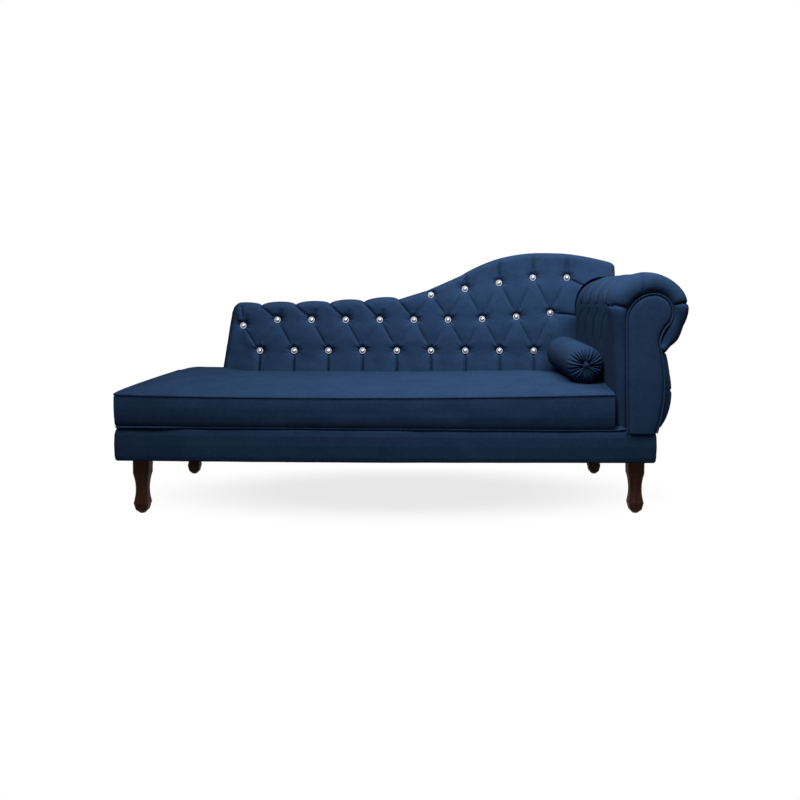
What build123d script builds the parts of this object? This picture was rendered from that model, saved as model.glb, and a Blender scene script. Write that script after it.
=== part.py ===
from build123d import *
import math
import os

# Recamier: a chaise with one rolled arm, a diamond-tufted back and a loose bolster.
# Millimetres. +X is right seen from the front, +Y is to the back, +Z is up.
# The origin is on the floor under the middle of the piece.

os.makedirs("parts", exist_ok=True)

# Base
leg_height = 158.0
base_length = 1506.0
base_depth = 630.0
base_height = 84.0
base_padding = 6.0
rail_thickness = 25.0
dust_cover_thickness = 1.0
corner_block_side = 70.0
corner_block_height = 45.0
cross_rail_count = 3
arm_rail_inset = 37.5

# Legs: square section with chamfered corners, from the block at the top to the small foot
leg_left_inset = 56.0
leg_right_inset = 43.0
leg_depth_inset = 48.0
leg_top_width = 46.0
leg_shoulder_width = 45.0
leg_neck_width = 33.0
leg_ankle_width = 42.0
leg_instep_width = 33.0
leg_foot_width = 15.0
leg_corner_chamfer = 5.0
leg_shoulder_height = 114.0
leg_neck_height = 64.0
leg_ankle_height = 30.0
leg_instep_height = 10.0

# Leg fixings
bolt_diameter = 8.0
bolt_length_in_leg = 45.0
bolt_length_in_block = 60.0
tee_nut_flange_diameter = 22.0
tee_nut_flange_thickness = 1.5
tee_nut_barrel_diameter = 10.0
tee_nut_barrel_length = 9.0
fixing_clearance = 0.1
dust_hole_clearance = 0.5

# Seat
seat_overhang_left = 7.0
seat_overhang_front = 6.0
boxing_height = 96.0
seat_crown = 38.0
seat_crown_left_end = 17.0
seat_crown_right_end = 26.0
seat_end_run = 110.0
seat_left_fullness = 0.72
seat_right_fullness = 0.6
seat_arm_gap = 4.0
seat_seam_allowance = 0.1
seat_side_bulge = 2.5
seat_cover_thickness = 3.0
welt_radius = 3.0
strap_width = 55.0
strap_thickness = 2.0
cross_strap_count = 12
long_strap_count = 4

# Back, measured from the top of the base
back_left_inset = 184.0
back_seat_line = 124.0
back_left_lean = 31.0
back_low_height = 350.0
back_low_rise = 22.0
back_ramp_height = 452.0
back_crest_height = 532.0
back_right_height = 503.0
back_ramp_start = 725.0
back_ramp_end = 513.0
back_crest_peak = 222.0
back_end_overhang = 20.0
back_corner_radius = 22.0
back_rake = 4.5
back_pad_depth = 113.0
back_edge_thickness = 14.0
back_front_thickness = 8.0
back_front_rounding = 10.0
back_field_inset = 2.0
back_board_thickness = 12.0
back_post_thickness = 37.0
back_post_width = 40.0
back_post_count = 4
back_post_spacing = 3
back_post_shift = 0.25
back_post_gap = 6.0
rear_cover_thickness = 3.0

# Tufting of the back: rows of buttons, heights from the top of the base
tuft_columns = 9
first_tuft_inset = 112.0
last_tuft_inset = 154.0
bottom_row_height = 194.0
mid_row_height = 301.0
mid_row_end_rise = 24.0
mid_row_rising_columns = 3
mid_row_first_drop = 20.0
top_row_count = 5
top_row_edge_gap = 25.0
top_row_height = 448.0
top_row_step = 21.0
scallop_shift = 54.0
scallop_end_gap = 60.0
scallop_rise = 10.0
ramp_scallop_rise = 3.0
puff_height = 25.0
puff_steps = ((-0.06, 0.975), (0.3, 0.95), (0.55, 0.9), (0.76, 0.81), (0.92, 0.66), (1.0, 0.42))
puff_edge_margin = 11.0
puff_bottom_height = 62.0
puff_corner_gap = 8.0
puff_right_gap = 10.0
side_fold_height = 398.0
stone_diameter = 20.0
stone_height = 6.5
stone_girdle_height = 2.0
stone_table_diameter = 11.5
stone_sides = 8
cup_diameter = 21.5
cup_height = 3.0
dimple_diameter = 30.0
dimple_clearance = 1.0
button_sides = 12
button_crown_share = 0.67
tie_sides = 6
dimple_depth = 14.0
tie_diameter = 3.0
tie_clearance = 0.3
tie_reach = 1.0
toggle_length = 12.0
toggle_height = 6.0
toggle_thickness = 3.0

# Arm, measured from the right end of the base or from its top
arm_inner_inset = 108.0
arm_outer_offset = 3.0
roll_overhang = 87.0
roll_radius = 103.0
roll_top_height = 446.0
arm_neck_offset = 25.0
arm_neck_height = 222.0
arm_underside_slope = 0.7
arm_padding = 20.0
arm_front_rounding = 20.0
arm_board_left_inset = 73.0
arm_board_right_inset = 1.0
arm_board_head_inset = 5.0
arm_board_head_height = 333.0
arm_board_head_radius = 50.0
arm_board_thickness = 18.0
arm_top_rail_side = 46.0
arm_panel_thickness = 3.0
arm_outside_bulge = 40.0
arm_bulge_height = 115.0
arm_outside_setback = 2.0
arm_rear_gap = 2.0
fascia_thickness = 14.0
fascia_left_inset = 77.0
fascia_head_radius = 53.0
fascia_side_bulge = 25.0
fascia_bulge_height = 94.0
fascia_welt_setback = 2.0
fascia_neck_offset = 14.0
fascia_neck_height = 236.0
fascia_shoulder_radius = 80.0
fascia_waist_radius = 30.0
fascia_rounding = 4.0
arm_tuft_pitch = 118.0
arm_first_tuft = 105.0
arm_tuft_columns = 4
arm_roll_row_angles = (178.0, 118.0, 66.0, 14.0)
arm_fold_width = 15.0
arm_fold_depth = 10.0
arm_fold_lip = 2.0
arm_fold_edge_gap = 12.0
arm_fold_roll_gap = 12.0
fold_steps = 4
arm_button_diameter = 22.0
arm_button_height = 6.0

# Bolster
bolster_diameter = 110.0
bolster_length = 395.0
bolster_pitch = 2.5
bolster_end_drop = 12.0
bolster_shoulder = 32.0
bolster_brow_share = 0.5
bolster_slope_share = 0.8
bolster_slope_drop = 8.0
bolster_rim_share = 0.94
bolster_rim_drop = 19.0
bolster_end_padding = 10.0
bolster_cover_thickness = 3.0
bolster_crown = 4.0
bolster_gather_count = 16
bolster_gather_depth = 5.0
bolster_gather_width = 4.0
bolster_gather_spread = 9.0
bolster_gather_margin = 4.0
bolster_button_diameter = 26.0
bolster_button_height = 5.0
bolster_back_gap = 10.0
bolster_arm_gap = 2.0
bolster_rest_gap = 0.3

# Rails the back and the arm stand on, and their screws
bottom_rail_height = 28.0
screw_diameter = 5.0
screw_head_diameter = 9.5
screw_head_height = 3.0
screw_length = 60.0
back_screw_count = 5
arm_screw_count = 3
back_screw_left_inset = 40.0
back_screw_right_inset = 20.0
arm_screw_inset = 90.0

# Fits
fit_gap = 0.5

# Levels and faces that follow from the sizes above
base_bottom = leg_height
base_top = leg_height + base_height
base_left = seat_overhang_left - (seat_overhang_left + base_length + roll_overhang) / 2
base_right = base_left + base_length
base_front = seat_overhang_front - (seat_overhang_front + base_depth) / 2
base_rear = base_front + base_depth
rail_left = base_left + base_padding
rail_right = base_right - base_padding
rail_front = base_front + base_padding
rail_rear = base_rear - base_padding
rail_bottom = base_bottom + dust_cover_thickness
seat_left = base_left - seat_overhang_left + welt_radius
seat_front = base_front - seat_overhang_front + welt_radius
seat_rear = base_rear - welt_radius
seat_edge = base_top + boxing_height
foam_bottom = base_top + 2 * strap_thickness
front_face = base_front - seat_overhang_front
arm_inner = base_right - arm_inner_inset
arm_outer = base_right + arm_outer_offset
seat_right = arm_inner - seat_arm_gap
roll_x = base_right + roll_overhang - roll_radius
roll_z = base_top + roll_top_height - roll_radius
neck_x = base_right + arm_neck_offset
neck_z = base_top + arm_neck_height
neck_inner_z = neck_z + arm_underside_slope * (neck_x - arm_outer)
arm_front = front_face + fascia_thickness
back_left = base_left + back_left_inset
back_right = base_right + back_end_overhang
back_panel_rear = base_rear - rear_cover_thickness
board_rear = back_panel_rear - back_post_thickness
board_front = board_rear - back_board_thickness
rake = math.radians(back_rake)
valley_y = base_rear - back_pad_depth
back_plane = Plane(
    origin=(0, valley_y, base_top),
    x_dir=(1, 0, 0),
    z_dir=(0, -math.cos(rake), math.sin(rake)),
)
tuft_pitch = (arm_inner - back_left - first_tuft_inset - last_tuft_inset) / (tuft_columns - 1)
seat_back_y = valley_y - rail_thickness
bolt_bore = bolt_diameter + 2 * fixing_clearance
UP = (Align.CENTER, Align.CENTER, Align.MIN)


def save(name, shape):
    """Write one node."""
    export_step(shape, f"parts/{name}.step")


def block(x0, x1, y0, y1, z0, z1):
    """A box between two corners."""
    middle = Pos((x0 + x1) / 2, (y0 + y1) / 2, (z0 + z1) / 2)
    return middle * Box(x1 - x0, y1 - y0, z1 - z0)


def rod(x, y, z, diameter, height):
    """An upright cylinder standing at z."""
    return Pos(x, y, z) * Cylinder(diameter / 2, height, align=UP)


def faceted(bottom_diameter, top_diameter, height, sides):
    """A many-sided button, cup or cord, standing on the origin."""
    foot = RegularPolygon(bottom_diameter / 2, sides)
    head = Pos(0, 0, height) * RegularPolygon(top_diameter / 2, sides)
    return loft([foot, head], ruled=True)


def slab(outline, y0, y1):
    """An outline drawn in X and Z, made solid from y0 back to y1."""
    return Pos(0, y1, 0) * extrude(Plane.XZ * outline, amount=y1 - y0)


def arc_middle(center_x, center_z, radius, degrees):
    """A point on a circle at an angle from +X."""
    angle = math.radians(degrees)
    return (center_x + radius * math.cos(angle), center_z + radius * math.sin(angle))


# Base


def corner_positions():
    """The four legs, by name."""
    places = {}
    for side, x in (("left", base_left + leg_left_inset), ("right", base_right - leg_right_inset)):
        for end, y in (("front", base_front + leg_depth_inset), ("rear", base_rear - leg_depth_inset)):
            places[f"{end}_{side}"] = (x, y)
    return places


def screw(x, y, top, clearance):
    """A countersunk wood screw, head flush with the top it is driven into."""
    shank = rod(x, y, top - screw_length, screw_diameter + 2 * clearance, screw_length)
    head = Pos(x, y, top - screw_head_height) * Cone(
        screw_diameter / 2 + clearance,
        screw_head_diameter / 2 + clearance,
        screw_head_height,
        align=UP,
    )
    return shank + head


def back_screw_places():
    """Along the middle of the rail the back stands on."""
    first = back_left + back_edge_thickness + back_screw_left_inset
    last = arm_inner - back_screw_right_inset
    step = (last - first) / (back_screw_count - 1)
    return [(first + step * i, rail_rear - rail_thickness / 2) for i in range(back_screw_count)]


def arm_screw_places():
    """Along the middle of the rail the arm stands on."""
    first = arm_front + arm_screw_inset
    last = valley_y - arm_screw_inset
    step = (last - first) / (arm_screw_count - 1)
    return [(rail_right - rail_thickness / 2, first + step * i) for i in range(arm_screw_count)]


def screws(places, clearance=0.0):
    """The screws through one bottom rail."""
    return [screw(x, y, base_top + bottom_rail_height, clearance) for x, y in places]


def base_frame():
    """Rails and blocks of the base box."""
    inner_front = rail_front + rail_thickness
    inner_rear = rail_rear - rail_thickness
    inner_left = rail_left + rail_thickness
    inner_right = rail_right - rail_thickness
    save("base_front_rail", block(rail_left, rail_right, rail_front, inner_front, rail_bottom, base_top))
    rear = block(rail_left, rail_right, inner_rear, rail_rear, rail_bottom, base_top)
    save("base_rear_rail", rear - screws(back_screw_places(), fixing_clearance))
    save("base_left_rail", block(rail_left, inner_left, inner_front, inner_rear, rail_bottom, base_top))
    right = block(inner_right, rail_right, inner_front, inner_rear, rail_bottom, base_top)
    save("base_right_rail", right - screws(arm_screw_places(), fixing_clearance))
    back_line = seat_back_y + rail_thickness
    save("seat_back_rail", block(inner_left, inner_right, seat_back_y, back_line, rail_bottom, base_top))
    corner_x = back_left - rail_thickness / 2
    save(
        "seat_corner_rail",
        block(corner_x, corner_x + rail_thickness, back_line, inner_rear, rail_bottom, base_top),
    )
    spacing = (arm_inner - arm_rail_inset - inner_left) / cross_rail_count
    for number in range(1, cross_rail_count + 1):
        x = inner_left + spacing * number
        rail = block(x, x + rail_thickness, inner_front, seat_back_y, rail_bottom, base_top)
        save(f"base_cross_rail_{number}", rail)
    save("base_corner_blocks", Compound(corner_blocks()))


def corner_blocks():
    """Blocks glued into the corners of the rails, drilled for the leg fixings."""
    made = []
    reach = rail_thickness + corner_block_side / 2
    for name, (x, y) in corner_positions().items():
        corner_x = rail_left + reach if "left" in name else rail_right - reach
        corner_y = rail_front + reach if "front" in name else rail_rear - reach
        body = Pos(corner_x, corner_y, rail_bottom) * Box(
            corner_block_side, corner_block_side, corner_block_height, align=UP
        )
        hole = rod(x, y, rail_bottom, tee_nut_barrel_diameter + 2 * fixing_clearance, corner_block_height)
        made.append((body - hole).solid())
    return made


def leg_section(width, height):
    """One square section of a leg, its corners cut off."""
    square = Rectangle(width, width)
    return Pos(0, 0, height) * chamfer(square.vertices(), leg_corner_chamfer)


def leg():
    """A short turned-in leg with a chamfered foot, on the origin."""
    top = loft(
        [leg_section(leg_shoulder_width, leg_shoulder_height), leg_section(leg_top_width, leg_height)],
        ruled=True,
    )
    middle = loft(
        [
            leg_section(leg_ankle_width, leg_ankle_height),
            leg_section(leg_neck_width, leg_neck_height),
            leg_section(leg_shoulder_width, leg_shoulder_height),
        ]
    )
    foot = loft(
        [
            leg_section(leg_foot_width, 0),
            leg_section(leg_instep_width, leg_instep_height),
            leg_section(leg_ankle_width, leg_ankle_height),
        ],
        ruled=True,
    )
    socket = rod(0, 0, leg_height - bolt_length_in_leg, bolt_bore, bolt_length_in_leg)
    return top + middle + foot - socket


def legs_and_fixings():
    """Legs, and the bolt and tee nut that hold each one."""
    shape = leg()
    bolts = []
    nuts = []
    block_top = rail_bottom + corner_block_height
    for name, (x, y) in corner_positions().items():
        save(f"leg_{name}", Pos(x, y, 0) * shape)
        length = bolt_length_in_leg + bolt_length_in_block
        bolts.append(rod(x, y, leg_height - bolt_length_in_leg, bolt_diameter, length))
        barrel = rod(x, y, block_top - tee_nut_barrel_length, tee_nut_barrel_diameter, tee_nut_barrel_length)
        flange = rod(x, y, block_top, tee_nut_flange_diameter, tee_nut_flange_thickness)
        hole = rod(x, y, block_top - tee_nut_barrel_length, bolt_bore, 2 * tee_nut_barrel_length)
        nuts.append((barrel + flange - hole).solid())
    save("leg_hanger_bolts", Compound([bolt.solid() for bolt in bolts]))
    save("leg_tee_nuts", Compound(nuts))


def seam_welt():
    """The cord in the seam between base and seat."""
    path = Polyline(
        (base_right, base_front, base_top),
        (base_left, base_front, base_top),
        (base_left, base_rear, base_top),
        (back_left - welt_radius, base_rear, base_top),
    )
    return cord(path)


def cord(path):
    """A round cord along a path, with mitred corners."""
    start = path.edges()[0]
    profile = Plane(origin=start @ 0, z_dir=start % 0) * Circle(welt_radius)
    return sweep(profile, path=path, transition=Transition.RIGHT)


def base_covers(welt):
    """Padded fabric over the four sides, and the cloth under the base."""
    front = block(base_left, base_right, base_front, rail_front, base_bottom, base_top)
    rear = block(base_left, base_right, rail_rear, base_rear, base_bottom, base_top)
    left = block(base_left, rail_left, rail_front, rail_rear, base_bottom, base_top)
    right = block(rail_right, base_right, rail_front, rail_rear, base_bottom, base_top)
    save("base_front_cover", front - welt)
    save("base_rear_cover", rear - welt)
    save("base_left_cover", left - welt)
    save("base_right_cover", right - welt)
    save("base_seam_welt", welt)
    cloth = block(rail_left, rail_right, rail_front, rail_rear, base_bottom, rail_bottom)
    hole = bolt_diameter + 2 * dust_hole_clearance
    holes = [rod(x, y, base_bottom, hole, dust_cover_thickness) for x, y in corner_positions().values()]
    save("dust_cover", cloth - holes)


# Seat


def seat_section(x, inset, bottom, crown):
    """One upright slice of the seat block, with bulged sides and a crowned top."""
    front = seat_front + inset
    rear = seat_rear - inset
    top = seat_edge - inset
    half = (bottom + top) / 2
    middle = (front + rear) / 2
    low_front = (x, front, bottom)
    low_rear = (x, rear, bottom)
    high_front = (x, front, top)
    high_rear = (x, rear, top)
    edges = [
        Line(low_front, low_rear),
        ThreePointArc(low_rear, (x, rear + seat_side_bulge, half), high_rear),
        ThreePointArc(high_rear, (x, middle, top + crown), high_front),
        ThreePointArc(high_front, (x, front - seat_side_bulge, half), low_front),
    ]
    return Face(Wire(edges))


def seat_block(inset, bottom):
    """The whole seat before the back is let into it."""
    left = seat_left + inset
    left_crown = seat_crown_left_end + seat_left_fullness * (seat_crown - seat_crown_left_end)
    right_crown = seat_crown_right_end + seat_right_fullness * (seat_crown - seat_crown_right_end)
    stations = [
        (left, seat_crown_left_end),
        (left + seat_end_run, left_crown),
        ((seat_left + seat_right) / 2, seat_crown),
        (seat_right - seat_end_run, right_crown),
        (seat_right, seat_crown_right_end),
    ]
    return loft([seat_section(x, inset, bottom, crown) for x, crown in stations])


def back_clearance():
    """The room the back takes out of the seat."""
    depth = base_depth
    width = 2 * base_length
    height = 2 * (back_crest_height + base_top)
    middle = back_left - fit_gap + width / 2
    room = Pos(middle, 0, puff_height + fit_gap - depth / 2) * Box(width, height, depth)
    return back_plane * room


def seat_welt():
    """The cord along the top edge of the boxing: front, arched left end and rear."""
    middle = (seat_front + seat_rear) / 2
    front_left = (seat_left, seat_front, seat_edge)
    rear_left = (seat_left, seat_rear, seat_edge)
    runs = [
        Line((seat_right, seat_front, seat_edge), front_left),
        ThreePointArc(front_left, (seat_left, middle, seat_edge + seat_crown_left_end), rear_left),
        Line(rear_left, (back_left - 2 * welt_radius, seat_rear, seat_edge)),
    ]
    corners = [Pos(*place) * Sphere(welt_radius) for place in (front_left, rear_left)]
    return cord(runs[0]) + [cord(runs[1]), cord(runs[2])] + corners


def seat(lower_welt):
    """Webbing, foam and the sewn cover."""
    room = back_clearance()
    upper_welt = seat_welt()
    outside = seat_block(0, base_top) - room
    cavity = seat_block(seat_cover_thickness, base_top) - room
    cover = outside - cavity - upper_welt - lower_welt
    level = seat_edge - seat_cover_thickness + seat_seam_allowance
    far = base_length
    foam = cavity & block(-far, far, -far, far, foam_bottom, foam_bottom + far)
    top = cover & block(-far, far, -far, far, level, level + far)
    band = cover & block(-far, far, -far, far, base_top, level)
    cut_front = seat_front + 2 * seat_cover_thickness + seat_side_bulge
    cut_rear = seat_rear - 2 * seat_cover_thickness - seat_side_bulge
    cut_left = seat_left + far / 4
    save("seat_boxing_front", band & block(-far, far, -far, cut_front, base_top, level))
    save("seat_boxing_left", band & block(-far, cut_left, cut_front, cut_rear, base_top, level))
    save("seat_boxing_rear", band & block(-far, cut_left, cut_rear, far, base_top, level))
    save("seat_top_cover", top)
    save("seat_welt", upper_welt)
    save("seat_foam", foam - upper_welt - lower_welt)
    webbing()
    return outside


def webbing():
    """Elastic straps over the base rails and the small deck beside the back."""
    inner_left = rail_left + rail_thickness
    first = inner_left + strap_width
    last = arm_inner - strap_width
    step = (last - first) / (cross_strap_count - 1)
    level = base_top + strap_thickness
    cross = []
    for i in range(cross_strap_count):
        x = first + step * i
        strap = block(
            x - strap_width / 2,
            x + strap_width / 2,
            rail_front,
            seat_back_y + rail_thickness - fit_gap,
            base_top,
            level,
        )
        cross.append(strap.solid())
    save("seat_cross_straps", Compound(cross))
    inner_front = rail_front + rail_thickness
    gap = (seat_back_y - inner_front) / long_strap_count
    lengthwise = []
    for i in range(long_strap_count):
        y = inner_front + gap * (i + 0.5)
        near = y - strap_width / 2
        strap = block(rail_left, seat_right, near, near + strap_width, level, level + strap_thickness)
        lengthwise.append(strap.solid())
    save("seat_long_straps", Compound(lengthwise))
    deck = block(
        rail_left,
        back_left - fit_gap,
        seat_back_y + rail_thickness,
        rail_rear - welt_radius,
        base_top,
        foam_bottom,
    )
    save("seat_corner_deck", deck)


# Back


def top_height(x):
    """Height of the back's edge at x, from the top of the base, with no scallops."""
    ramp_start = base_right - back_ramp_start
    ramp_end = base_right - back_ramp_end
    if x < ramp_start:
        run = (x - back_left) / (ramp_start - back_left)
        return back_low_height + back_low_rise * max(run, 0)
    low_end = back_low_height + back_low_rise
    if x < ramp_end:
        return low_end + (back_ramp_height - low_end) * (x - ramp_start) / (ramp_end - ramp_start)
    peak = base_right - back_crest_peak
    if x < peak:
        share = (peak - x) / (peak - ramp_end)
        return back_crest_height - (back_crest_height - back_ramp_height) * share * share
    share = (x - peak) / (back_right - peak)
    return back_crest_height - (back_crest_height - back_right_height) * share * share


def scallop_ends():
    """X of the dips along the low part and the ramp of the back's edge."""
    columns = range(1, tuft_columns - top_row_count + 2)
    return [tuft_x(column - 0.5) - scallop_shift for column in columns]


def edge_point(x):
    """A point on the edge of the back."""
    return (x, base_top + top_height(x))


def back_outline(scalloped):
    """The S-shaped outline of the back, with or without the scallops between the folds."""
    ramp_start = base_right - back_ramp_start
    ramp_end = base_right - back_ramp_end
    peak = base_right - back_crest_peak
    left_top = (back_left + back_left_lean, base_top + top_height(back_left))
    right_top = (back_right, base_top + back_right_height)
    dips = [x for x in scallop_ends() if x < ramp_end - scallop_end_gap] if scalloped else []
    stops = [left_top[0]] + dips
    if not scalloped:
        stops = stops + [ramp_start]
    stops = stops + [ramp_end]
    edges = []
    for x0, x1 in zip(stops, stops[1:]):
        start = left_top if x0 == stops[0] else edge_point(x0)
        end = edge_point(x1)
        if scalloped:
            rise = scallop_rise if x1 < ramp_start + scallop_shift else ramp_scallop_rise
            middle = ((start[0] + end[0]) / 2, (start[1] + end[1]) / 2 + rise)
            edges.append(ThreePointArc(start, middle, end))
        else:
            edges.append(Line(start, end))
    half_way = (ramp_end + peak) / 2
    edges.append(ThreePointArc(edge_point(ramp_end), edge_point(half_way), edge_point(peak)))
    beyond = (peak + back_right) / 2
    edges.append(ThreePointArc(edge_point(peak), edge_point(beyond), right_top))
    edges.append(Line(right_top, (back_right, base_top)))
    edges.append(Line((back_right, base_top), (back_left, base_top)))
    edges.append(Line((back_left, base_top), (back_left, base_top + back_seat_line)))
    edges.append(Line((back_left, base_top + back_seat_line), left_top))
    face = make_face(edges)
    corners = [v for v in face.vertices() if abs(v.Y - left_top[1]) < 0.1 and abs(v.X - left_top[0]) < 0.1]
    corners += [v for v in face.vertices() if abs(v.Y - right_top[1]) < 0.1 and abs(v.X - right_top[0]) < 0.1]
    return fillet(corners, back_corner_radius)


def back_inner_outline():
    """The room inside the padded edge of the back, open at the bottom."""
    inner = offset(back_outline(False), amount=-back_edge_thickness, kind=Kind.INTERSECTION)
    left = back_left + back_edge_thickness
    right = back_right - back_edge_thickness
    strip = Rectangle(right - left, 2 * back_edge_thickness)
    low = Pos((left + right) / 2, base_top + back_edge_thickness) * strip
    return inner + low


def tuft_x(column):
    """X of a button of the bottom row; the middle row is half a column off."""
    return back_left + first_tuft_inset + column * tuft_pitch


def tuft_rows():
    """The three rows of buttons as points in the plane of the back: X and height."""
    bottom = [(tuft_x(i), bottom_row_height) for i in range(tuft_columns)]
    middle = []
    for i in range(tuft_columns + 1):
        late = max(0, i - (tuft_columns - mid_row_rising_columns)) / mid_row_rising_columns
        drop = mid_row_first_drop if i == 0 else 0
        middle.append((tuft_x(i - 0.5), mid_row_height - drop + mid_row_end_rise * late * late))
    first = tuft_columns + 1 - top_row_count
    top = []
    top_row_start = top_height(tuft_x(first)) - top_row_edge_gap
    for i in range(top_row_count):
        height = min(top_row_height, top_row_start + top_row_step * i)
        top.append((tuft_x(first + i), height))
    return bottom, middle, top


def tuft_cells():
    """Outlines of the padded cells between the folds."""
    bottom, middle, top = tuft_rows()
    low = puff_bottom_height
    first = tuft_columns + 1 - top_row_count
    right = back_right - puff_edge_margin

    def under_edge(x):
        return (x, top_height(x) - puff_edge_margin)

    cells = []
    for i in range(tuft_columns - 1):
        cells.append(
            [(bottom[i][0], low), (bottom[i + 1][0], low), bottom[i + 1], middle[i + 1], bottom[i]]
        )
    side = back_left + puff_edge_margin
    lean = back_left_lean * (middle[0][1] - back_seat_line) / (back_low_height - back_seat_line)
    left_middle = (side + lean, middle[0][1])
    left_seat = (side, back_seat_line)
    cells.append([(side, low), (bottom[0][0], low), bottom[0], middle[0], left_middle, left_seat])
    cells.append([(bottom[-1][0], low), (right, low), (right, middle[-1][1]), middle[-1], bottom[-1]])
    corner_x = back_left + back_left_lean + puff_edge_margin + puff_corner_gap
    dips = [under_edge(corner_x)] + [under_edge(x) for x in scallop_ends()]
    for i in range(first):
        start = left_middle if i == 0 else middle[i]
        outline = [start, middle[0], bottom[0]] if i == 0 else [middle[i], bottom[i]]
        cells.append(outline + [middle[i + 1], dips[i + 1], dips[i]])
    for i in range(first, tuft_columns):
        cells.append([middle[i], bottom[i], middle[i + 1], top[i - first]])
    cells.append([middle[first], top[0], under_edge(top[0][0]), dips[-1]])
    for i in range(top_row_count - 1):
        half = (top[i][0] + top[i + 1][0]) / 2
        cells.append(
            [
                top[i],
                middle[first + i + 1],
                top[i + 1],
                under_edge(top[i + 1][0]),
                under_edge(half),
                under_edge(top[i][0]),
            ]
        )
    fold = (right, side_fold_height)
    cells.append([middle[-1], (right, middle[-1][1]), fold, top[-1]])
    cells.append([top[-1], fold, under_edge(right - puff_right_gap), under_edge(top[-1][0])])
    return cells


def puff(corners):
    """One padded cell: straight folds round it, rising to a rounded top."""
    count = len(corners)
    middle_x = sum(x for x, v in corners) / count
    middle_v = sum(v for x, v in corners) / count
    sections = []
    for height, share in puff_steps:
        points = [(middle_x + (x - middle_x) * share, middle_v + (v - middle_v) * share) for x, v in corners]
        sections.append(Pos(0, 0, height * puff_height) * make_face(Polyline(*points, close=True)))
    return back_plane * loft(sections, ruled=True)


def at_tufts(shape):
    """A copy of a shape at every button of the back, its +Z along the face of the back."""
    rows = tuft_rows()
    return [back_plane * Pos(x, v, 0) * shape for row in rows for x, v in row]


def behind(offset):
    """All the room behind a plane that leans with the back."""
    size = 3 * base_length
    return back_plane * (Pos(0, 0, offset - size / 2) * Box(size, size, size))


def back(arm_envelope):
    """The back: frame, board, foam, tufted cover, rear cover and buttons."""
    smooth = back_outline(False)
    inner = back_inner_outline()
    far = valley_y - back_pad_depth
    dents = at_tufts(Cone(cup_diameter / 2 + dimple_clearance, dimple_diameter / 2, dimple_depth, align=UP))
    reach = back_pad_depth
    bore_width = tie_diameter + 2 * tie_clearance
    bore = Pos(0, 0, -reach) * faceted(bore_width, bore_width, reach + 1, tie_sides)
    bores = at_tufts(bore)
    edge = slab(back_outline(True), far, back_panel_rear) & behind(-back_front_rounding)
    inset = offset(smooth, amount=-back_field_inset, kind=Kind.INTERSECTION)
    field = slab(inset, far, board_rear) & behind(0)
    front_edges = [e for e in field.edges() if on_front(e)]
    field = chamfer(front_edges, back_front_rounding - back_field_inset)
    pad = edge + field
    cavity = slab(inner, far, back_panel_rear) & behind(-back_front_thickness)
    puffs = [puff(cell) for cell in tuft_cells()]
    cover = pad + puffs
    cover = cover - dents - arm_envelope - cavity - bores
    save("back_tufted_cover", cover)
    foam = (slab(inner, far, board_front) & behind(-back_front_thickness)) - bores
    save("back_foam", foam)
    save("back_board", slab(inner, board_front, board_rear) - bores)
    back_frame()
    rear = offset(smooth, amount=-rear_cover_thickness, kind=Kind.INTERSECTION)
    save("back_rear_cover", slab(rear, back_panel_rear, base_rear))
    buttons()


def on_front(edge):
    """Whether an edge of the pad lies on the leaning front, above the seat line."""
    local = back_plane.to_local_coords(edge.center())
    return abs(local.Z) < 0.01 and local.Y > 1


def back_frame():
    """Bottom rail and posts behind the board, and the screws into the base."""
    left = back_left + back_edge_thickness
    right = back_right - back_edge_thickness
    rail_top = base_top + bottom_rail_height
    rail = block(left, right, board_rear, back_panel_rear, base_top, rail_top)
    save("back_bottom_rail", rail - screws(back_screw_places(), fixing_clearance))
    save("back_frame_screws", Compound([s.solid() for s in screws(back_screw_places())]))
    for i in range(back_post_count):
        x = tuft_x(back_post_spacing * i + back_post_shift)
        low_side = min(top_height(x - back_post_width / 2), top_height(x + back_post_width / 2))
        top = base_top + low_side - back_edge_thickness - back_post_gap
        post = block(
            x - back_post_width / 2,
            x + back_post_width / 2,
            board_rear,
            back_panel_rear,
            rail_top,
            top,
        )
        save(f"back_post_{i + 1}", post)


def buttons():
    """Stones in metal cups, each held by a tie to a toggle behind the board."""
    girdle = RegularPolygon(stone_diameter / 2, stone_sides)
    table = RegularPolygon(stone_table_diameter / 2, stone_sides)
    stone = Pos(0, 0, cup_height) * loft(
        [girdle, Pos(0, 0, stone_girdle_height) * girdle, Pos(0, 0, stone_height) * table], ruled=True
    )
    cup = faceted(cup_diameter, cup_diameter, cup_height, button_sides)
    save("tuft_stones", Compound([s.solid() for s in at_tufts(stone)]))
    save("tuft_cups", Compound([s.solid() for s in at_tufts(cup)]))
    ties = []
    for row in tuft_rows():
        for x, v in row:
            seat_point = back_plane.from_local_coords(Vector(x, v, 0))
            length = (board_rear - seat_point.Y) / math.cos(rake) + tie_reach
            line = back_plane * (Pos(x, v, -length) * faceted(tie_diameter, tie_diameter, length, tie_sides))
            end_z = seat_point.Z - length * math.sin(rake)
            half = toggle_length / 2
            low = end_z - toggle_height / 2
            toggle = block(
                x - half, x + half, board_rear, board_rear + toggle_thickness, low, low + toggle_height
            )
            ties.append((line + toggle).solid())
    save("tuft_ties", Compound(ties))


# Arm


def tangent_angle(x, z, side):
    """Angle on the roll where a straight line from a point touches it."""
    distance = math.hypot(x - roll_x, z - roll_z)
    toward = math.degrees(math.atan2(z - roll_z, x - roll_x))
    return toward + side * math.degrees(math.acos(roll_radius / distance))


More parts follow.
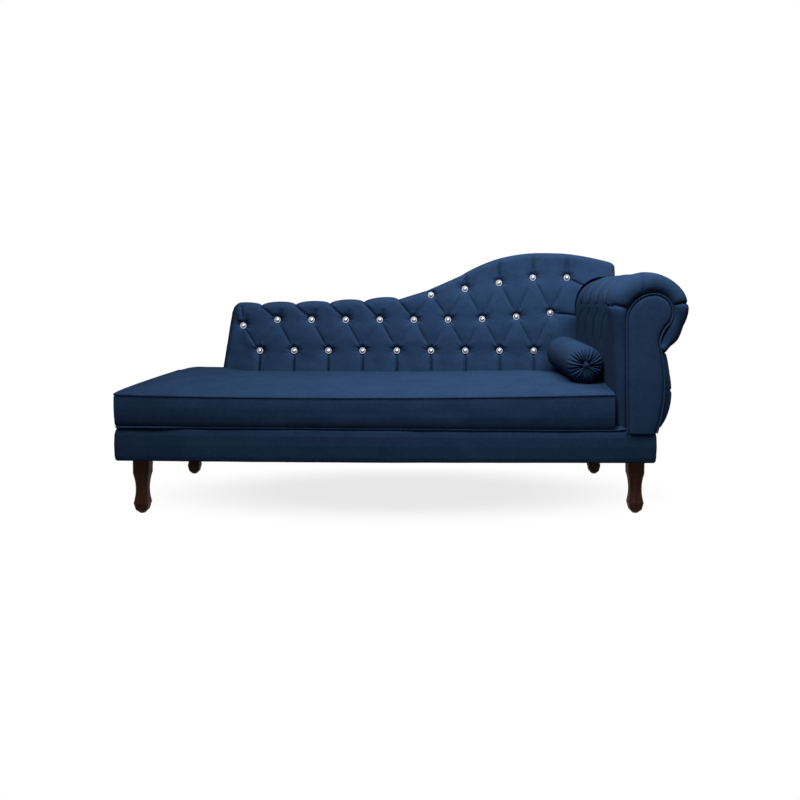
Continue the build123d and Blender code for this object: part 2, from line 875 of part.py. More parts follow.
def arm_profile():
    """Section of the padded arm: inner face, roll, and the neck under the roll."""
    foot = (arm_inner, base_top)
    neck = (neck_x, neck_z)
    inner_angle = tangent_angle(*foot, -1) % 360
    outer_angle = tangent_angle(*neck, 1)
    inner = arc_middle(roll_x, roll_z, roll_radius, inner_angle)
    top = (roll_x, roll_z + roll_radius)
    outer = arc_middle(roll_x, roll_z, roll_radius, outer_angle)
    edges = [
        Line(foot, inner),
        ThreePointArc(inner, arc_middle(roll_x, roll_z, roll_radius, (inner_angle + 90) / 2), top),
        ThreePointArc(top, arc_middle(roll_x, roll_z, roll_radius, (outer_angle + 90) / 2), outer),
        Line(outer, neck),
        Line(neck, (arm_outer, neck_inner_z)),
        Line((arm_outer, neck_inner_z), (arm_outer, base_top)),
        Line((arm_outer, base_top), foot),
    ]
    return make_face(edges)


def board_profile():
    """The keyhole shape of the boards inside the arm."""
    left = base_right - arm_board_left_inset
    right = base_right - arm_board_right_inset
    head_z = base_top + arm_board_head_height
    stem = Pos((left + right) / 2, (base_top + head_z) / 2) * Rectangle(right - left, head_z - base_top)
    head = Pos(base_right - arm_board_head_inset, head_z) * Circle(arm_board_head_radius)
    return stem + head


def fascia_profile():
    """The flat front panel of the arm: narrow stem, waist, and round head."""
    left = base_right - fascia_left_inset
    head_x = base_right - arm_board_head_inset
    head_z = base_top + arm_board_head_height
    apart = fascia_shoulder_radius - fascia_head_radius
    shoulder_x = left + fascia_shoulder_radius
    shoulder_z = head_z - math.sqrt(apart**2 - (shoulder_x - head_x) ** 2)
    meet_angle = math.degrees(math.atan2(head_z - shoulder_z, head_x - shoulder_x))
    meet = arc_middle(head_x, head_z, fascia_head_radius, meet_angle)
    waist = (base_right + fascia_neck_offset, base_top + fascia_neck_height)
    to_waist = math.hypot(waist[0] - head_x, waist[1] - head_z)
    toward = math.degrees(math.atan2(waist[1] - head_z, waist[0] - head_x))
    low_angle = toward + math.degrees(math.acos(fascia_head_radius / to_waist))
    head_low = arc_middle(head_x, head_z, fascia_head_radius, low_angle)
    foot_right = (arm_outer, base_top)
    bulge = (base_right + fascia_side_bulge, base_top + fascia_bulge_height)
    shoulder_middle = arc_middle(shoulder_x, shoulder_z, fascia_shoulder_radius, (180 + meet_angle) / 2)
    edges = [
        Line((left, base_top), (left, shoulder_z)),
        ThreePointArc((left, shoulder_z), shoulder_middle, meet),
        ThreePointArc(
            meet, arc_middle(head_x, head_z, fascia_head_radius, (meet_angle + low_angle) / 2), head_low
        ),
        Line(head_low, waist),
        ThreePointArc(waist, bulge, foot_right),
        Line(foot_right, (left, base_top)),
    ]
    face = make_face(edges)
    corner = [v for v in face.vertices() if abs(v.X - waist[0]) < 0.1 and abs(v.Y - waist[1]) < 0.1]
    return fillet(corner, fascia_waist_radius)


def roll_point(angle, y, out=0.0):
    """A point on the roll at an angle, with the way out from the surface."""
    a = math.radians(angle)
    way = Vector(math.cos(a), 0, math.sin(a))
    return Vector(roll_x, y, roll_z) + way * (roll_radius + out), way


def inner_point(height, y):
    """A point on the inner face of the arm, with the way out from it."""
    touch = arc_middle(roll_x, roll_z, roll_radius, tangent_angle(arm_inner, base_top, -1))
    share = height / (touch[1] - base_top)
    way = Vector(-(touch[1] - base_top), 0, touch[0] - arm_inner).normalized()
    return Vector(arm_inner + (touch[0] - arm_inner) * share, y, base_top + height), way


def fold(stations, start_depth=1.0, end_depth=1.0):
    """A V-shaped fold cut along points on the arm."""
    sections = []
    first = stations[0][0]
    last = stations[-1][0]
    count = len(stations) - 1
    for i, (point, way) in enumerate(stations):
        after = stations[min(i + 1, count)][0]
        before = stations[max(i - 1, 0)][0]
        along = (after - before).normalized()
        across = along.cross(way).normalized() * (arm_fold_width / 2)
        share = (point - first).length / (last - first).length
        depth = arm_fold_depth * (start_depth + (end_depth - start_depth) * share)
        lip = point + way * arm_fold_lip
        sections.append(make_face(Polyline(lip + across, lip - across, point - way * depth, close=True)))
    return loft(sections, ruled=True)


def arm_columns():
    """Y of the two staggered sets of buttons on the arm."""
    even = [front_face + arm_first_tuft + arm_tuft_pitch * i for i in range(arm_tuft_columns)]
    odd = [y + arm_tuft_pitch / 2 for y in even[:-1]]
    return even, odd


def roll_stations(angle0, y0, angle1, y1):
    """Points along a fold on the roll."""
    found = []
    for i in range(fold_steps + 1):
        share = i / fold_steps
        found.append(roll_point(angle0 + (angle1 - angle0) * share, y0 + (y1 - y0) * share))
    return found


def arm_folds():
    """All folds of the arm: diagonals, the straight ones to the front, and those down to the seat."""
    even, odd = arm_columns()
    cuts = []
    seat_line = boxing_height + seat_crown_right_end
    edge = arm_front + arm_fold_edge_gap
    roll_line = roll_z - base_top - arm_fold_roll_gap
    for y in even:
        cuts.append(fold([inner_point(seat_line, y), inner_point(roll_line, y)], 0.5, 1.0))
    for row, angle in enumerate(arm_roll_row_angles):
        here = even if row % 2 == 0 else odd
        cuts.append(fold(roll_stations(angle, edge, angle, here[0]), 0.5, 1.0))
        if row + 1 == len(arm_roll_row_angles):
            break
        next_angle = arm_roll_row_angles[row + 1]
        for y in odd:
            for side in (-0.5, 0.5):
                other = y + side * arm_tuft_pitch
                start, end = (other, y) if row % 2 == 0 else (y, other)
                cuts.append(fold(roll_stations(angle, start, next_angle, end)))
    return cuts


def arm_button_places():
    """Planes at the bottom of the folds where the buttons sit, +Z outward."""
    even, odd = arm_columns()
    found = []
    for row, angle in enumerate(arm_roll_row_angles):
        found += [roll_point(angle, y) for y in (even if row % 2 == 0 else odd)]
    return [Plane(origin=point - way * arm_fold_depth, x_dir=(0, 1, 0), z_dir=way) for point, way in found]


def arm_pad_profile():
    """The bulged pad on the outside of the arm, below the roll."""
    middle = (arm_outer + arm_outside_bulge, base_top + arm_bulge_height)
    foot = (arm_outer, base_top)
    neck = (neck_x, neck_z)
    edges = [
        ThreePointArc(foot, middle, neck),
        Line(neck, (arm_outer, neck_inner_z)),
        Line((arm_outer, neck_inner_z), foot),
    ]
    return make_face(edges)


def arm_envelope():
    """The room the arm and its outside pad take, a little larger than they are."""
    grown = offset(arm_profile() + arm_pad_profile(), amount=fit_gap)
    return slab(grown, arm_front, base_rear) - behind(0)


def arm(lower_welt):
    """The rolled arm: boards, rails, foam, tufted cover, outside pad, fascia and buttons."""
    rear = base_rear
    shape = arm_profile()
    keep = behind(fit_gap)
    solid = slab(shape, arm_front, rear)
    rounded = [e for e in solid.edges() if abs(e.center().Y - arm_front) < 0.01 and on_roll(e)]
    solid = fillet(rounded, arm_front_rounding) - keep
    boards = slab(board_profile(), arm_front, rear)
    inset = offset(shape, amount=-arm_padding, kind=Kind.INTERSECTION)
    padding = slab(inset, arm_front + arm_padding, rear) - keep
    cover = solid - padding - boards - arm_folds()
    places = arm_button_places()
    hollow = arm_button_diameter + 2 * dimple_clearance
    seats = [p * faceted(hollow, hollow, arm_fold_depth + arm_button_height, button_sides) for p in places]
    cover = cover - seats
    save("arm_tufted_cover", cover)
    save("arm_foam", padding - boards)
    crown = arm_button_diameter * button_crown_share
    dome = faceted(arm_button_diameter, crown, arm_button_height, button_sides)
    save("arm_buttons", Compound([(p * dome).solid() for p in places]))
    arm_frame()
    arm_outside(keep)
    arm_front_panel(lower_welt)


def on_roll(edge):
    """Whether a front edge belongs to the inner face, the roll or the slope down to the neck."""
    c = edge.center()
    return c.X < arm_inner + 1 or c.Z > neck_z + 1


def arm_frame():
    """Boards at both ends of the arm and the rails between them."""
    front = arm_front + arm_board_thickness
    rear = valley_y - arm_rear_gap
    start = rear - arm_board_thickness
    left = base_right - arm_board_left_inset
    right = base_right - arm_board_right_inset
    save("arm_front_board", slab(board_profile(), arm_front, front))
    save("arm_rear_board", slab(board_profile(), start, rear))
    rail = block(left, right, front, start, base_top, base_top + bottom_rail_height)
    save("arm_bottom_rail", rail - screws(arm_screw_places(), fixing_clearance))
    save("arm_frame_screws", Compound([s.solid() for s in screws(arm_screw_places())]))
    half = arm_top_rail_side / 2
    panel_foot = base_top + bottom_rail_height
    head_x = base_right - arm_board_head_inset
    head_z = base_top + arm_board_head_height
    save("arm_top_rail", block(head_x - half, head_x + half, front, start, head_z - half, head_z + half))
    save(
        "arm_inner_panel",
        block(left, left + arm_panel_thickness, front, start, panel_foot, head_z - 2 * half),
    )


def arm_outside(keep):
    """The outside pad, cut clear of the back."""
    body = slab(arm_pad_profile(), arm_front + arm_outside_setback, base_rear) - keep
    save("arm_outside_cover", body)


def arm_front_panel(lower_welt):
    """The fascia and the cord sewn round it."""
    profile = fascia_profile()
    body = slab(profile, front_face, arm_front)
    rim = [e for e in body.edges() if abs(e.center().Y - front_face) < 0.01 and e.center().Z > base_top + 1]
    body = chamfer(rim, fascia_rounding)
    line = [e for e in profile.edges() if e.center().Y > base_top + 1]
    path = Pos(0, arm_front - welt_radius - fascia_welt_setback, 0) * (Plane.XZ * Wire(line))
    section = Plane(origin=path @ 0, z_dir=path % 0) * Circle(welt_radius)
    welt = sweep(section, path=path, transition=Transition.ROUND)
    save("arm_fascia", body - welt - lower_welt)
    save("arm_fascia_welt", welt - lower_welt)


# Bolster


def bolster_half(inset, end_inset):
    """Half the lengthwise section of the bolster: X is the radius, Y runs along it."""
    radius = bolster_diameter / 2 - inset
    half = bolster_length / 2 - end_inset
    rim = radius - bolster_crown
    end = [
        (0, half - bolster_end_drop),
        (bolster_button_diameter / 2 + 1, half - bolster_end_drop),
        (bolster_brow_share * rim, half),
        (bolster_slope_share * rim, half - bolster_slope_drop),
        (bolster_rim_share * rim, half - bolster_rim_drop),
        (rim, half - bolster_shoulder),
        (radius, 0),
    ]
    far_end = [(x, -y) for x, y in reversed(end[:-1])]
    return make_face(Polyline(*end, *far_end, close=True))


def bolster(seat_outside):
    """The loose round cushion with gathered ends, resting on the seat against the arm."""
    outside = revolve(bolster_half(0, 0), Axis.Y)
    inside = revolve(bolster_half(bolster_cover_thickness, bolster_end_padding), Axis.Y)
    half = bolster_length / 2
    angles = [360 / bolster_gather_count * i for i in range(bolster_gather_count)]
    pleats = [gather(end, angle) for end in (-1, 1) for angle in angles]
    cover = outside - pleats - inside
    crown = bolster_button_diameter * button_crown_share
    cap = faceted(bolster_button_diameter, crown, bolster_button_height, button_sides)
    caps = []
    for end in (-1, 1):
        floor = (0, end * (half - bolster_end_drop), 0)
        caps.append(Plane(origin=floor, x_dir=(1, 0, 0), z_dir=(0, end, 0)) * cap)
    y = back_plane.from_local_coords(Vector(0, back_seat_line, puff_height)).Y - bolster_back_gap - half
    middle = boxing_height + seat_crown_right_end + bolster_diameter / 2
    x = inner_point(middle, 0)[0].X - bolster_arm_gap - bolster_diameter / 2
    high = Pos(x, y, seat_edge + 2 * seat_crown + bolster_diameter / 2) * Rot(bolster_pitch, 0, 0)
    drop = (high * outside).distance_to(seat_outside) - bolster_rest_gap
    place = Pos(0, 0, -drop) * high
    save("bolster_cover", place * cover)
    save("bolster_filling", place * inside)
    save("bolster_end_buttons", Compound([(place * c).solid() for c in caps]))


def gather(end, angle):
    """A V-shaped pleat running from the end button out over the rounded end."""
    half = bolster_length / 2
    inner_r = bolster_button_diameter / 2 + bolster_gather_margin
    outer_r = bolster_diameter / 2 - bolster_crown
    above = half + bolster_end_drop
    sections = []
    for radius, width, floor in (
        (inner_r, bolster_gather_width, half - bolster_end_drop / 3 - bolster_gather_depth),
        (outer_r, bolster_gather_spread, half - bolster_gather_depth),
    ):
        corners = [(-width / 2, above, radius), (width / 2, above, radius), (0, floor, radius)]
        sections.append(make_face(Polyline(*corners, close=True)))
    turned = Rot(0, angle, 0) * loft(sections, ruled=True)
    return turned if end > 0 else mirror(turned, about=Plane.XZ)


base_frame()
legs_and_fixings()
lower_welt = seam_welt()
base_covers(lower_welt)
seat_shape = seat(lower_welt)
arm(lower_welt)
back(arm_envelope())
bolster(seat_shape)
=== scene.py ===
import math

import bpy
import numpy as np
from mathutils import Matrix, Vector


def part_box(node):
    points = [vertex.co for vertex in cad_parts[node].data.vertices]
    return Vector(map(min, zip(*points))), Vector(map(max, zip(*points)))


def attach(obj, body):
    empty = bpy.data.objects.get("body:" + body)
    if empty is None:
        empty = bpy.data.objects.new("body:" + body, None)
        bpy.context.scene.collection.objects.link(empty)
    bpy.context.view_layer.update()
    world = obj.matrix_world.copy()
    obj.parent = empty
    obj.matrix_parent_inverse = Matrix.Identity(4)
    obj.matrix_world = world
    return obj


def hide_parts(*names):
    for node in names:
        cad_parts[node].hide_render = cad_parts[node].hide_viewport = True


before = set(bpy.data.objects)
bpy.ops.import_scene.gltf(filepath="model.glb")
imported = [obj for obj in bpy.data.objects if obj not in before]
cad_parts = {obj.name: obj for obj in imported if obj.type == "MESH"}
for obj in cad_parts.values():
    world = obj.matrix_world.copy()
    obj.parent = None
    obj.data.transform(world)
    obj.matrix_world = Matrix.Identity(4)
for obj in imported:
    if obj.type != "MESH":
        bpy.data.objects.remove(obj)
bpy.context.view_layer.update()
bpy.context.scene.view_settings.view_transform = "Standard"

# Sizes in metres: X along the seat, Y from front to rear, Z up.
base_top = 0.242
welt_radius = 0.003

# The back: a leaning valley plane in which the buttons sit, with padding that stands out from it.
valley_y = 0.205
back_lean = math.radians(4.5)
back_left = -0.629
back_right = 0.742
back_left_lean = 0.033
back_seat_line = 0.366
back_rear = 0.3145
back_low_z = 0.589
back_low_edge = ((-0.300, 0.5955), (-0.130, 0.6035), (-0.020, 0.6130), (0.085, 0.6460))
back_ramp_end = (0.200, 0.6970)
back_peak = (0.497, 0.777)
back_right_drop = 0.036
back_arch_power = 2.3
back_corner_radius = 0.030
back_right_corner = 0.020
scallop_rise = 0.0138
back_rear_drop = 0.014
scallop_offset = 0.056
back_fold_level = 0.0165
back_padding = 0.0070
back_edge_roll = 0.022
button_room = 0.0115
back_columns = 520
back_rows = 200
tuft_pitch = 0.1185
back_foot = base_top + 0.004
brow_rise = 0.0030
brow_up = 0.020
brow_half_width = 0.016
brow_half_height = 0.009
pull_height = 0.0008
pull_radius = 0.020
pull_width = 0.010
pulls_round_button = 11
panel_inset = 0.004
panel_swell = 0.0055

# The grid on which the padding of the back is worked out.
field_left = -0.66
field_step = 0.0032
field_width = 1.42
field_height = 0.62
back_cell = 0.118
arm_cell = 0.112
arm_field_depth = 0.66

# The arm: a leaning inner face, a roll, and a neck below it on the outside.
arm_inner = 0.605
arm_outer = 0.716
roll_x = 0.697
roll_z = 0.585
roll_radius = 0.103
roll_start_angle = 181.85
roll_end_angle = -25.0
neck = (0.738, 0.458)
neck_inner_z = 0.479
arm_ring_back = -0.290
arm_ring_depth = 0.022
arm_ring_start = -60.0
arm_flare = 0.0090
arm_droop = 0.0075
arm_slope_bow = 0.0115
arm_flare_run = 0.12
arm_padding = 0.0050
arm_fold_level = 0.0100
arm_sunk = 0.0120
arm_row_angles = (178, 118, 66, 14)
arm_last_angle = -39
arm_front_folds = {0: (0.045, 0.002), 1: (0.004, 0.026), 3: (-0.021, 0.006)}
arm_knee_depth = 0.05
arm_upright_fold = ((0.02, 0.060), (0.25, 0.050), (0.31, 0.024))
arm_tuft_pitch = 0.118
arm_wrinkles = 13
arm_even = (-0.213, -0.095, 0.023, 0.141)
arm_odd = (-0.154, -0.036, 0.082)
arm_hidden_steps = (0.027, 0.264, 0.375)
arm_columns = 380
arm_rows = 200
arm_shown_columns = 330
cap_length = 0.060
cap_share = 0.20

# The front panel of the arm.
fascia_left = 0.636
fascia_head = (0.7136, 0.5709)
fascia_head_radius = 0.053
fascia_shoulder = (0.716, 0.544)
fascia_shoulder_radius = 0.080
fascia_meet_angle = 95.0
fascia_low_angle = -30.0
fascia_waist = (0.727, 0.478)
fascia_bulge = (0.741, 0.345)
arm_foot = base_top + 0.0006
fascia_foot = 0.2336
fascia_kick = 0.0070
fascia_kick_run = 0.30
fascia_rear = -0.2995
fascia_piping_y = -0.3062
fascia_swell = 0.0075
fascia_edge = 0.0045

# The pad on the outside of the arm.
pad_front = -0.3015
pad_bulge = 0.038
pad_foot = 0.006
pad_neck_share = 0.90
pad_end_round = 0.012
pad_crease_z = 0.352
pad_crease_depth = 0.0035
pad_crease_width = 0.004
pad_crease_run = 0.10

# The seat cushion.
seat_left = -0.797
seat_right = 0.601
seat_front = -0.315
seat_rear = 0.315
seat_edge = 0.338
seat_notch_x = -0.6305
seat_notch_y = 0.184
seat_crown = 0.0435
seat_left_rise = 0.0190
seat_left_proud = 0.002
seat_left_taper = 0.0035
seat_left_run = 0.09
seat_open_end = -0.625
seat_open_run = 0.09
seat_crown_right = 0.028
seat_right_run = 0.20
seat_edge_sag = 0.009
seat_cord_radius = 0.0036
seat_swell = (-0.0005, 0.0000, 0.0012, 0.0022, 0.0020, 0.0, -0.0025, -0.0050)
seat_corner_radius = 0.003
seat_rear_corner = 0.028
seat_corner_fade = 0.12
seat_tuck = 0.016
seat_tuck_reach = 0.009
seat_columns = 280
seat_rows = 120
seat_rings = 19

# The apron of the base stands out a little at both ends; its top and its hem run down to the right.
apron_proud_left = 0.0070
apron_proud_right = 0.0045
apron_top_line = ((-0.80, 0.2475), (-0.30, 0.2435), (0.40, 0.2375), (0.60, 0.2375), (0.65, 0.2418))
apron_hem_line = ((-0.80, 0.1560), (-0.42, 0.1520), (-0.10, 0.1500), (0.72, 0.1490))
apron_foot_swell = ((0, -0.0045), (0.04, -0.0015), (0.15, 0.0))
apron_swell = (*apron_foot_swell, (0.5, 0.0012), (0.8, 0.0006), (0.92, -0.0012), (1, -0.0040))
apron_wall = 0.0045
apron_corner = 0.005
cord_rise = 0.0032
rear_cord_rise = 0.0018
cord_peek_x = -0.70
cord_peek_run = 0.12

# The bolster.
bolster_length = 0.395
bolster_dome = 0.032
bolster_dimple = 0.012
bolster_pleat = 0.0062
bolster_pleats = 24
bolster_end_share = 0.30
bolster_dimple_width = 0.020
bolster_belly = 0.0012

# Covered buttons, and the crystals with their facets' width, rise and twist in degrees.
arm_button_size = (0.020, 0.007)
end_button_size = (0.024, 0.007)
stone_radius = 0.0080
stone_girdle = 0.0014
stone_facets = ((0.0026, 0.0030, 11.25), (0.0026, 0.0016, 11.25))
stone_sunk = 0.0022

# Heights of the uneven ripples in the cloth.
back_ripple = 0.0005
back_panel_ripple = 0.0008
arm_pad_ripple = 0.0012
seat_ripple = 0.0009
boxing_ripple = 0.0006
apron_ripple = 0.0010
bolster_ripple = 0.0007

# The cloth simulation: frames it runs, pressure inside, and the furthest that it may move a point.
settle_frames = 20
settle_pressure = 4.0
settle_cap = 0.002

# The camera and the lamp over the seat.
camera_place = (0.047, -2.546, 0.590)
camera_lens = 35.9
camera_shift = (-0.02125, -0.1175)
lamp_place = (0.42, -0.68, 1.80)
lamp_target = (0.10, 0.15, 0.45)
lamp_size = (1.8, 0.8)
lamp_watts = 50

navy = (0.0203, 0.0450, 0.1010)
navy_deep = (0.0140, 0.0340, 0.0815)
navy_bright = (0.0275, 0.0560, 0.1190)


def deselect():
    """Leaves edit mode with nothing selected."""
    if bpy.context.object and bpy.context.object.mode != "OBJECT":
        bpy.ops.object.mode_set(mode="OBJECT")
    bpy.ops.object.select_all(action="DESELECT")


def take(piece):
    """Makes one piece the selected and active one."""
    deselect()
    piece.select_set(True)
    bpy.context.view_layer.objects.active = piece


def edit(piece, mode="VERT"):
    """Opens a piece in edit mode with nothing of it selected."""
    take(piece)
    bpy.ops.object.mode_set(mode="EDIT")
    bpy.ops.mesh.select_mode(type=mode)
    bpy.ops.mesh.select_all(action="DESELECT")


def done():
    """Closes edit mode."""
    bpy.ops.object.mode_set(mode="OBJECT")


def named(name):
    """Names the piece that was just added."""
    piece = bpy.context.object
    piece.name = name
    piece.data.name = name
    return piece


def points_of(piece):
    """The places of a piece's vertices, one row each."""
    flat = np.empty(len(piece.data.vertices) * 3)
    piece.data.vertices.foreach_get("co", flat)
    return flat.reshape(-1, 3)


def set_points(piece, points):
    """Moves a piece's vertices."""
    piece.data.vertices.foreach_set("co", np.asarray(points, float).ravel())
    piece.data.update()


def cloth_sheet(name, columns, rows):
    """A flat sheet of squares, with each vertex's share across and along it."""
    deselect()
    bpy.ops.mesh.primitive_grid_add(x_subdivisions=columns, y_subdivisions=rows, size=1.0)
    piece = named(name)
    flat = points_of(piece)
    return piece, flat[:, 0] + 0.5, flat[:, 1] + 0.5


def select_rim():
    """Selects the open edges of the piece in edit mode."""
    bpy.ops.mesh.select_mode(type="EDGE")
    bpy.ops.mesh.select_all(action="DESELECT")
    bpy.ops.mesh.select_non_manifold(
        extend=False,
        use_wire=False,
        use_boundary=True,
        use_multi_face=False,
        use_non_contiguous=False,
        use_verts=False,
    )


def rim_wall(piece, way):
    """Adds a wall all along the open edges of a piece."""
    edit(piece)
    select_rim()
    bpy.ops.mesh.extrude_region_move(TRANSFORM_OT_translate={"value": way})
    done()


def turn_over(piece):
    """Turns the faces of a sheet to its other side."""
    edit(piece)
    bpy.ops.mesh.select_all(action="SELECT")
    bpy.ops.mesh.flip_normals()
    done()


def close_seam(piece, gap=0.00002):
    """Merges the vertices that meet where a sheet was rolled up."""
    edit(piece)
    bpy.ops.mesh.select_all(action="SELECT")
    bpy.ops.mesh.remove_doubles(threshold=gap)
    done()


def close_ends(piece):
    """Fills every open loop of a piece with a face, and turns all faces outwards."""
    edit(piece)
    bpy.ops.mesh.select_all(action="SELECT")
    bpy.ops.mesh.fill_holes(sides=0)
    bpy.ops.mesh.select_all(action="SELECT")
    bpy.ops.mesh.normals_make_consistent(inside=False)
    done()


def smooth(piece, angle=50):
    """Smooth shading with edges kept where faces meet sharply."""
    take(piece)
    bpy.ops.object.shade_smooth_by_angle(angle=math.radians(angle))


def ease(share):
    """A smooth step from 0 to 1."""
    share = np.clip(share, 0, 1)
    return share * share * (3 - 2 * share)


def on_line(line, value):
    """Height of a line of points at places along it."""
    return np.interp(value, [p[0] for p in line], [p[1] for p in line])


def ripple(a, b, waves, seed):
    """Soft uneven ripples between about -1 and 1 from a few crossing waves."""
    draw = np.random.default_rng(seed)
    total = np.zeros_like(a)
    for _ in range(waves):
        turn = draw.uniform(0, math.pi)
        pace = draw.uniform(0.6, 1.6)
        along = a * math.cos(turn) + b * math.sin(turn)
        total += np.sin(2 * math.pi * pace * along + draw.uniform(0, 6.28))
    return total / math.sqrt(waves)


def relax(held, fixed, load, rounds):
    """Settles a loaded membrane that is fixed where the mask says."""
    rise = np.where(fixed, held, 0.0)
    for _ in range(rounds):
        wide = np.pad(rise, 1, mode="edge")
        rise = (wide[:-2, 1:-1] + wide[2:, 1:-1] + wide[1:-1, :-2] + wide[1:-1, 2:]) / 4 + load
        rise[fixed] = held[fixed]
    return rise


def padding(width, height, step, folds, buttons, cell):
    """Fullness between folds, and the level of folds and buttons, on a grid over a sheet."""
    across, up = np.meshgrid(np.arange(0, width + step, step), np.arange(0, height + step, step))
    level = np.full(across.shape, np.inf)
    for start, end, levels, *_ in folds:
        share, gap = beside(across, up, start, end)
        near = (gap < 0.72 * step) & np.isfinite(levels[0])
        level[near] = np.minimum(level[near], along_fold(share, levels)[near])
    for spot in buttons:
        level[np.hypot(across - spot[0], up - spot[1]) < button_room] = 0.0
    fixed = np.isfinite(level)
    level[~fixed] = 0
    full = relax(np.zeros_like(level), fixed, (step / cell) ** 2 * 3.4, 1800)
    return full, relax(level, fixed, 0.0, 1200)


def beside(across, up, start, end):
    """Share along a fold and distance from it."""
    run = np.subtract(end, start)
    share = ((across - start[0]) * run[0] + (up - start[1]) * run[1]) / (run @ run)
    share = np.clip(share, 0, 1)
    return share, np.hypot(across - start[0] - share * run[0], up - start[1] - share * run[1])


def along_fold(share, levels):
    """A value along a fold from its start, middle and end, quickly reached from the ends."""
    first, middle, last = levels
    ends = first + (last - first) * share
    return ends + (middle - (first + last) / 2) * (1 - np.abs(2 * share - 1) ** 6)


def creases(across, up, folds):
    """Depth of the narrow crease that each fold leaves in the cloth."""
    depth = np.zeros_like(across)
    for start, end, _, cuts, width in folds:
        share, gap = beside(across, up, start, end)
        depth = np.maximum(depth, between_three(share, cuts) * np.exp(-((gap / width) ** 2)))
    return depth


def between_three(share, values):
    """A value that runs straight from the first to the middle and on to the last."""
    return np.interp(share, [0, 0.5, 1], values)


def look_up(field, step, a, b):
    """Reads a grid between its points."""
    column = np.clip(a / step, 0, field.shape[1] - 1.001)
    row = np.clip(b / step, 0, field.shape[0] - 1.001)
    left = column.astype(int)
    low = row.astype(int)
    right = column - left
    high = row - low
    below = field[low, left] * (1 - right) + field[low, left + 1] * right
    above = field[low + 1, left] * (1 - right) + field[low + 1, left + 1] * right
    return below * (1 - high) + above * high


def stuffed(full):
    """Turns fullness into a plump section: steep beside a fold and flat on top."""
    return (1 - np.exp(-1.9 * full)) / (1 - math.exp(-1.9))


def settle(piece, held):
    """Lets a padded piece settle as cloth blown out a little from inside and held at its seams."""
    before = points_of(piece)
    seams = piece.vertex_groups.new(name="seams")
    seams.add([int(i) for i in np.flatnonzero(held)], 1.0, "REPLACE")
    cloth = piece.modifiers.new("cloth", "CLOTH")
    cloth.settings.quality = 2
    cloth.settings.use_pressure = True
    cloth.settings.uniform_pressure_force = settle_pressure
    cloth.settings.effector_weights.gravity = 0
    cloth.settings.vertex_group_mass = seams.name
    cloth.point_cache.frame_start = 1
    cloth.point_cache.frame_end = settle_frames
    for number in range(1, settle_frames + 1):
        bpy.context.scene.frame_set(number)
    take(piece)
    bpy.ops.object.modifier_apply(modifier=cloth.name)
    piece.vertex_groups.clear()
    bpy.context.scene.frame_set(1)
    moved = points_of(piece) - before
    far = np.linalg.norm(moved, axis=1, keepdims=True)
    set_points(piece, before + moved * np.minimum(1, settle_cap / np.maximum(far, 1e-9)))


class Wire:
    """A socket in a material's node tree. Sums and products of wires add Math nodes."""

    def __init__(self, tree, socket=None):
        self.tree = tree
        self.socket = socket

    def add(self, kind, settings, sockets, output=0):
        """Adds a node: its settings come first, then values or wires for its sockets."""
        node = self.tree.nodes.new(kind)
        for name, value in settings.items():
            if name == "stops":
                self.set_stops(node.color_ramp, value)
            else:
                setattr(node, name, value)
        for name, value in sockets.items():
            if isinstance(value, Wire):
                self.tree.links.new(value.socket, node.inputs[name])
            else:
                node.inputs[name].default_value = value
        return Wire(self.tree, node.outputs[output])

    def set_stops(self, ramp, stops):
        """Sets the places and colours of a ramp's stops."""
        while len(ramp.elements) < len(stops):
            ramp.elements.new(0.5)
        for element, (place, colour) in zip(ramp.elements, stops):
            element.position = place
            element.color = colour

    def maths(self, operation, first, second):
        """Adds a Math node."""
        return self.add("ShaderNodeMath", {"operation": operation}, {0: first, 1: second})

    def __add__(self, other):
        return self.maths("ADD", self, other)

    def __radd__(self, other):
        return self.maths("ADD", other, self)

    def __mul__(self, other):
        return self.maths("MULTIPLY", self, other)

    def __rmul__(self, other):
        return self.maths("MULTIPLY", other, self)


def new_material(name):
    """A material with an empty node tree, its start wire and its output node."""
    material = bpy.data.materials.new(name)
    material.use_nodes = True
    tree = material.node_tree
    tree.nodes.clear()
    return material, Wire(tree), tree.nodes.new("ShaderNodeOutputMaterial")


def finish_material(start, output, shader):
    """Joins a shader to the material's output."""
    start.tree.links.new(shader.socket, output.inputs["Surface"])


def object_place(start):
    """The piece's own coordinates, in metres."""
    return start.add("ShaderNodeTexCoord", {}, {}, output=3)


def surface(start, output, sockets):
    """Ends a material with one Principled shader."""
    finish_material(start, output, start.add("ShaderNodeBsdfPrincipled", {}, sockets))


def bump(start, height, strength, distance):
    """Small relief from a height."""
    return start.add("ShaderNodeBump", {}, {"Strength": strength, "Distance": distance, "Height": height})


def noise(start, place, scale, detail, roughness=0.5):
    """Grey cloud noise at a scale in cycles per metre."""
    sockets = {"Vector": place, "Scale": scale, "Detail": detail, "Roughness": roughness}
    return start.add("ShaderNodeTexNoise", {}, sockets)


def colour_ramp(start, value, stops):
    """Colours along a value."""
    return start.add("ShaderNodeValToRGB", {"stops": [(p, (*c, 1.0)) for p, c in stops]}, {"Fac": value})


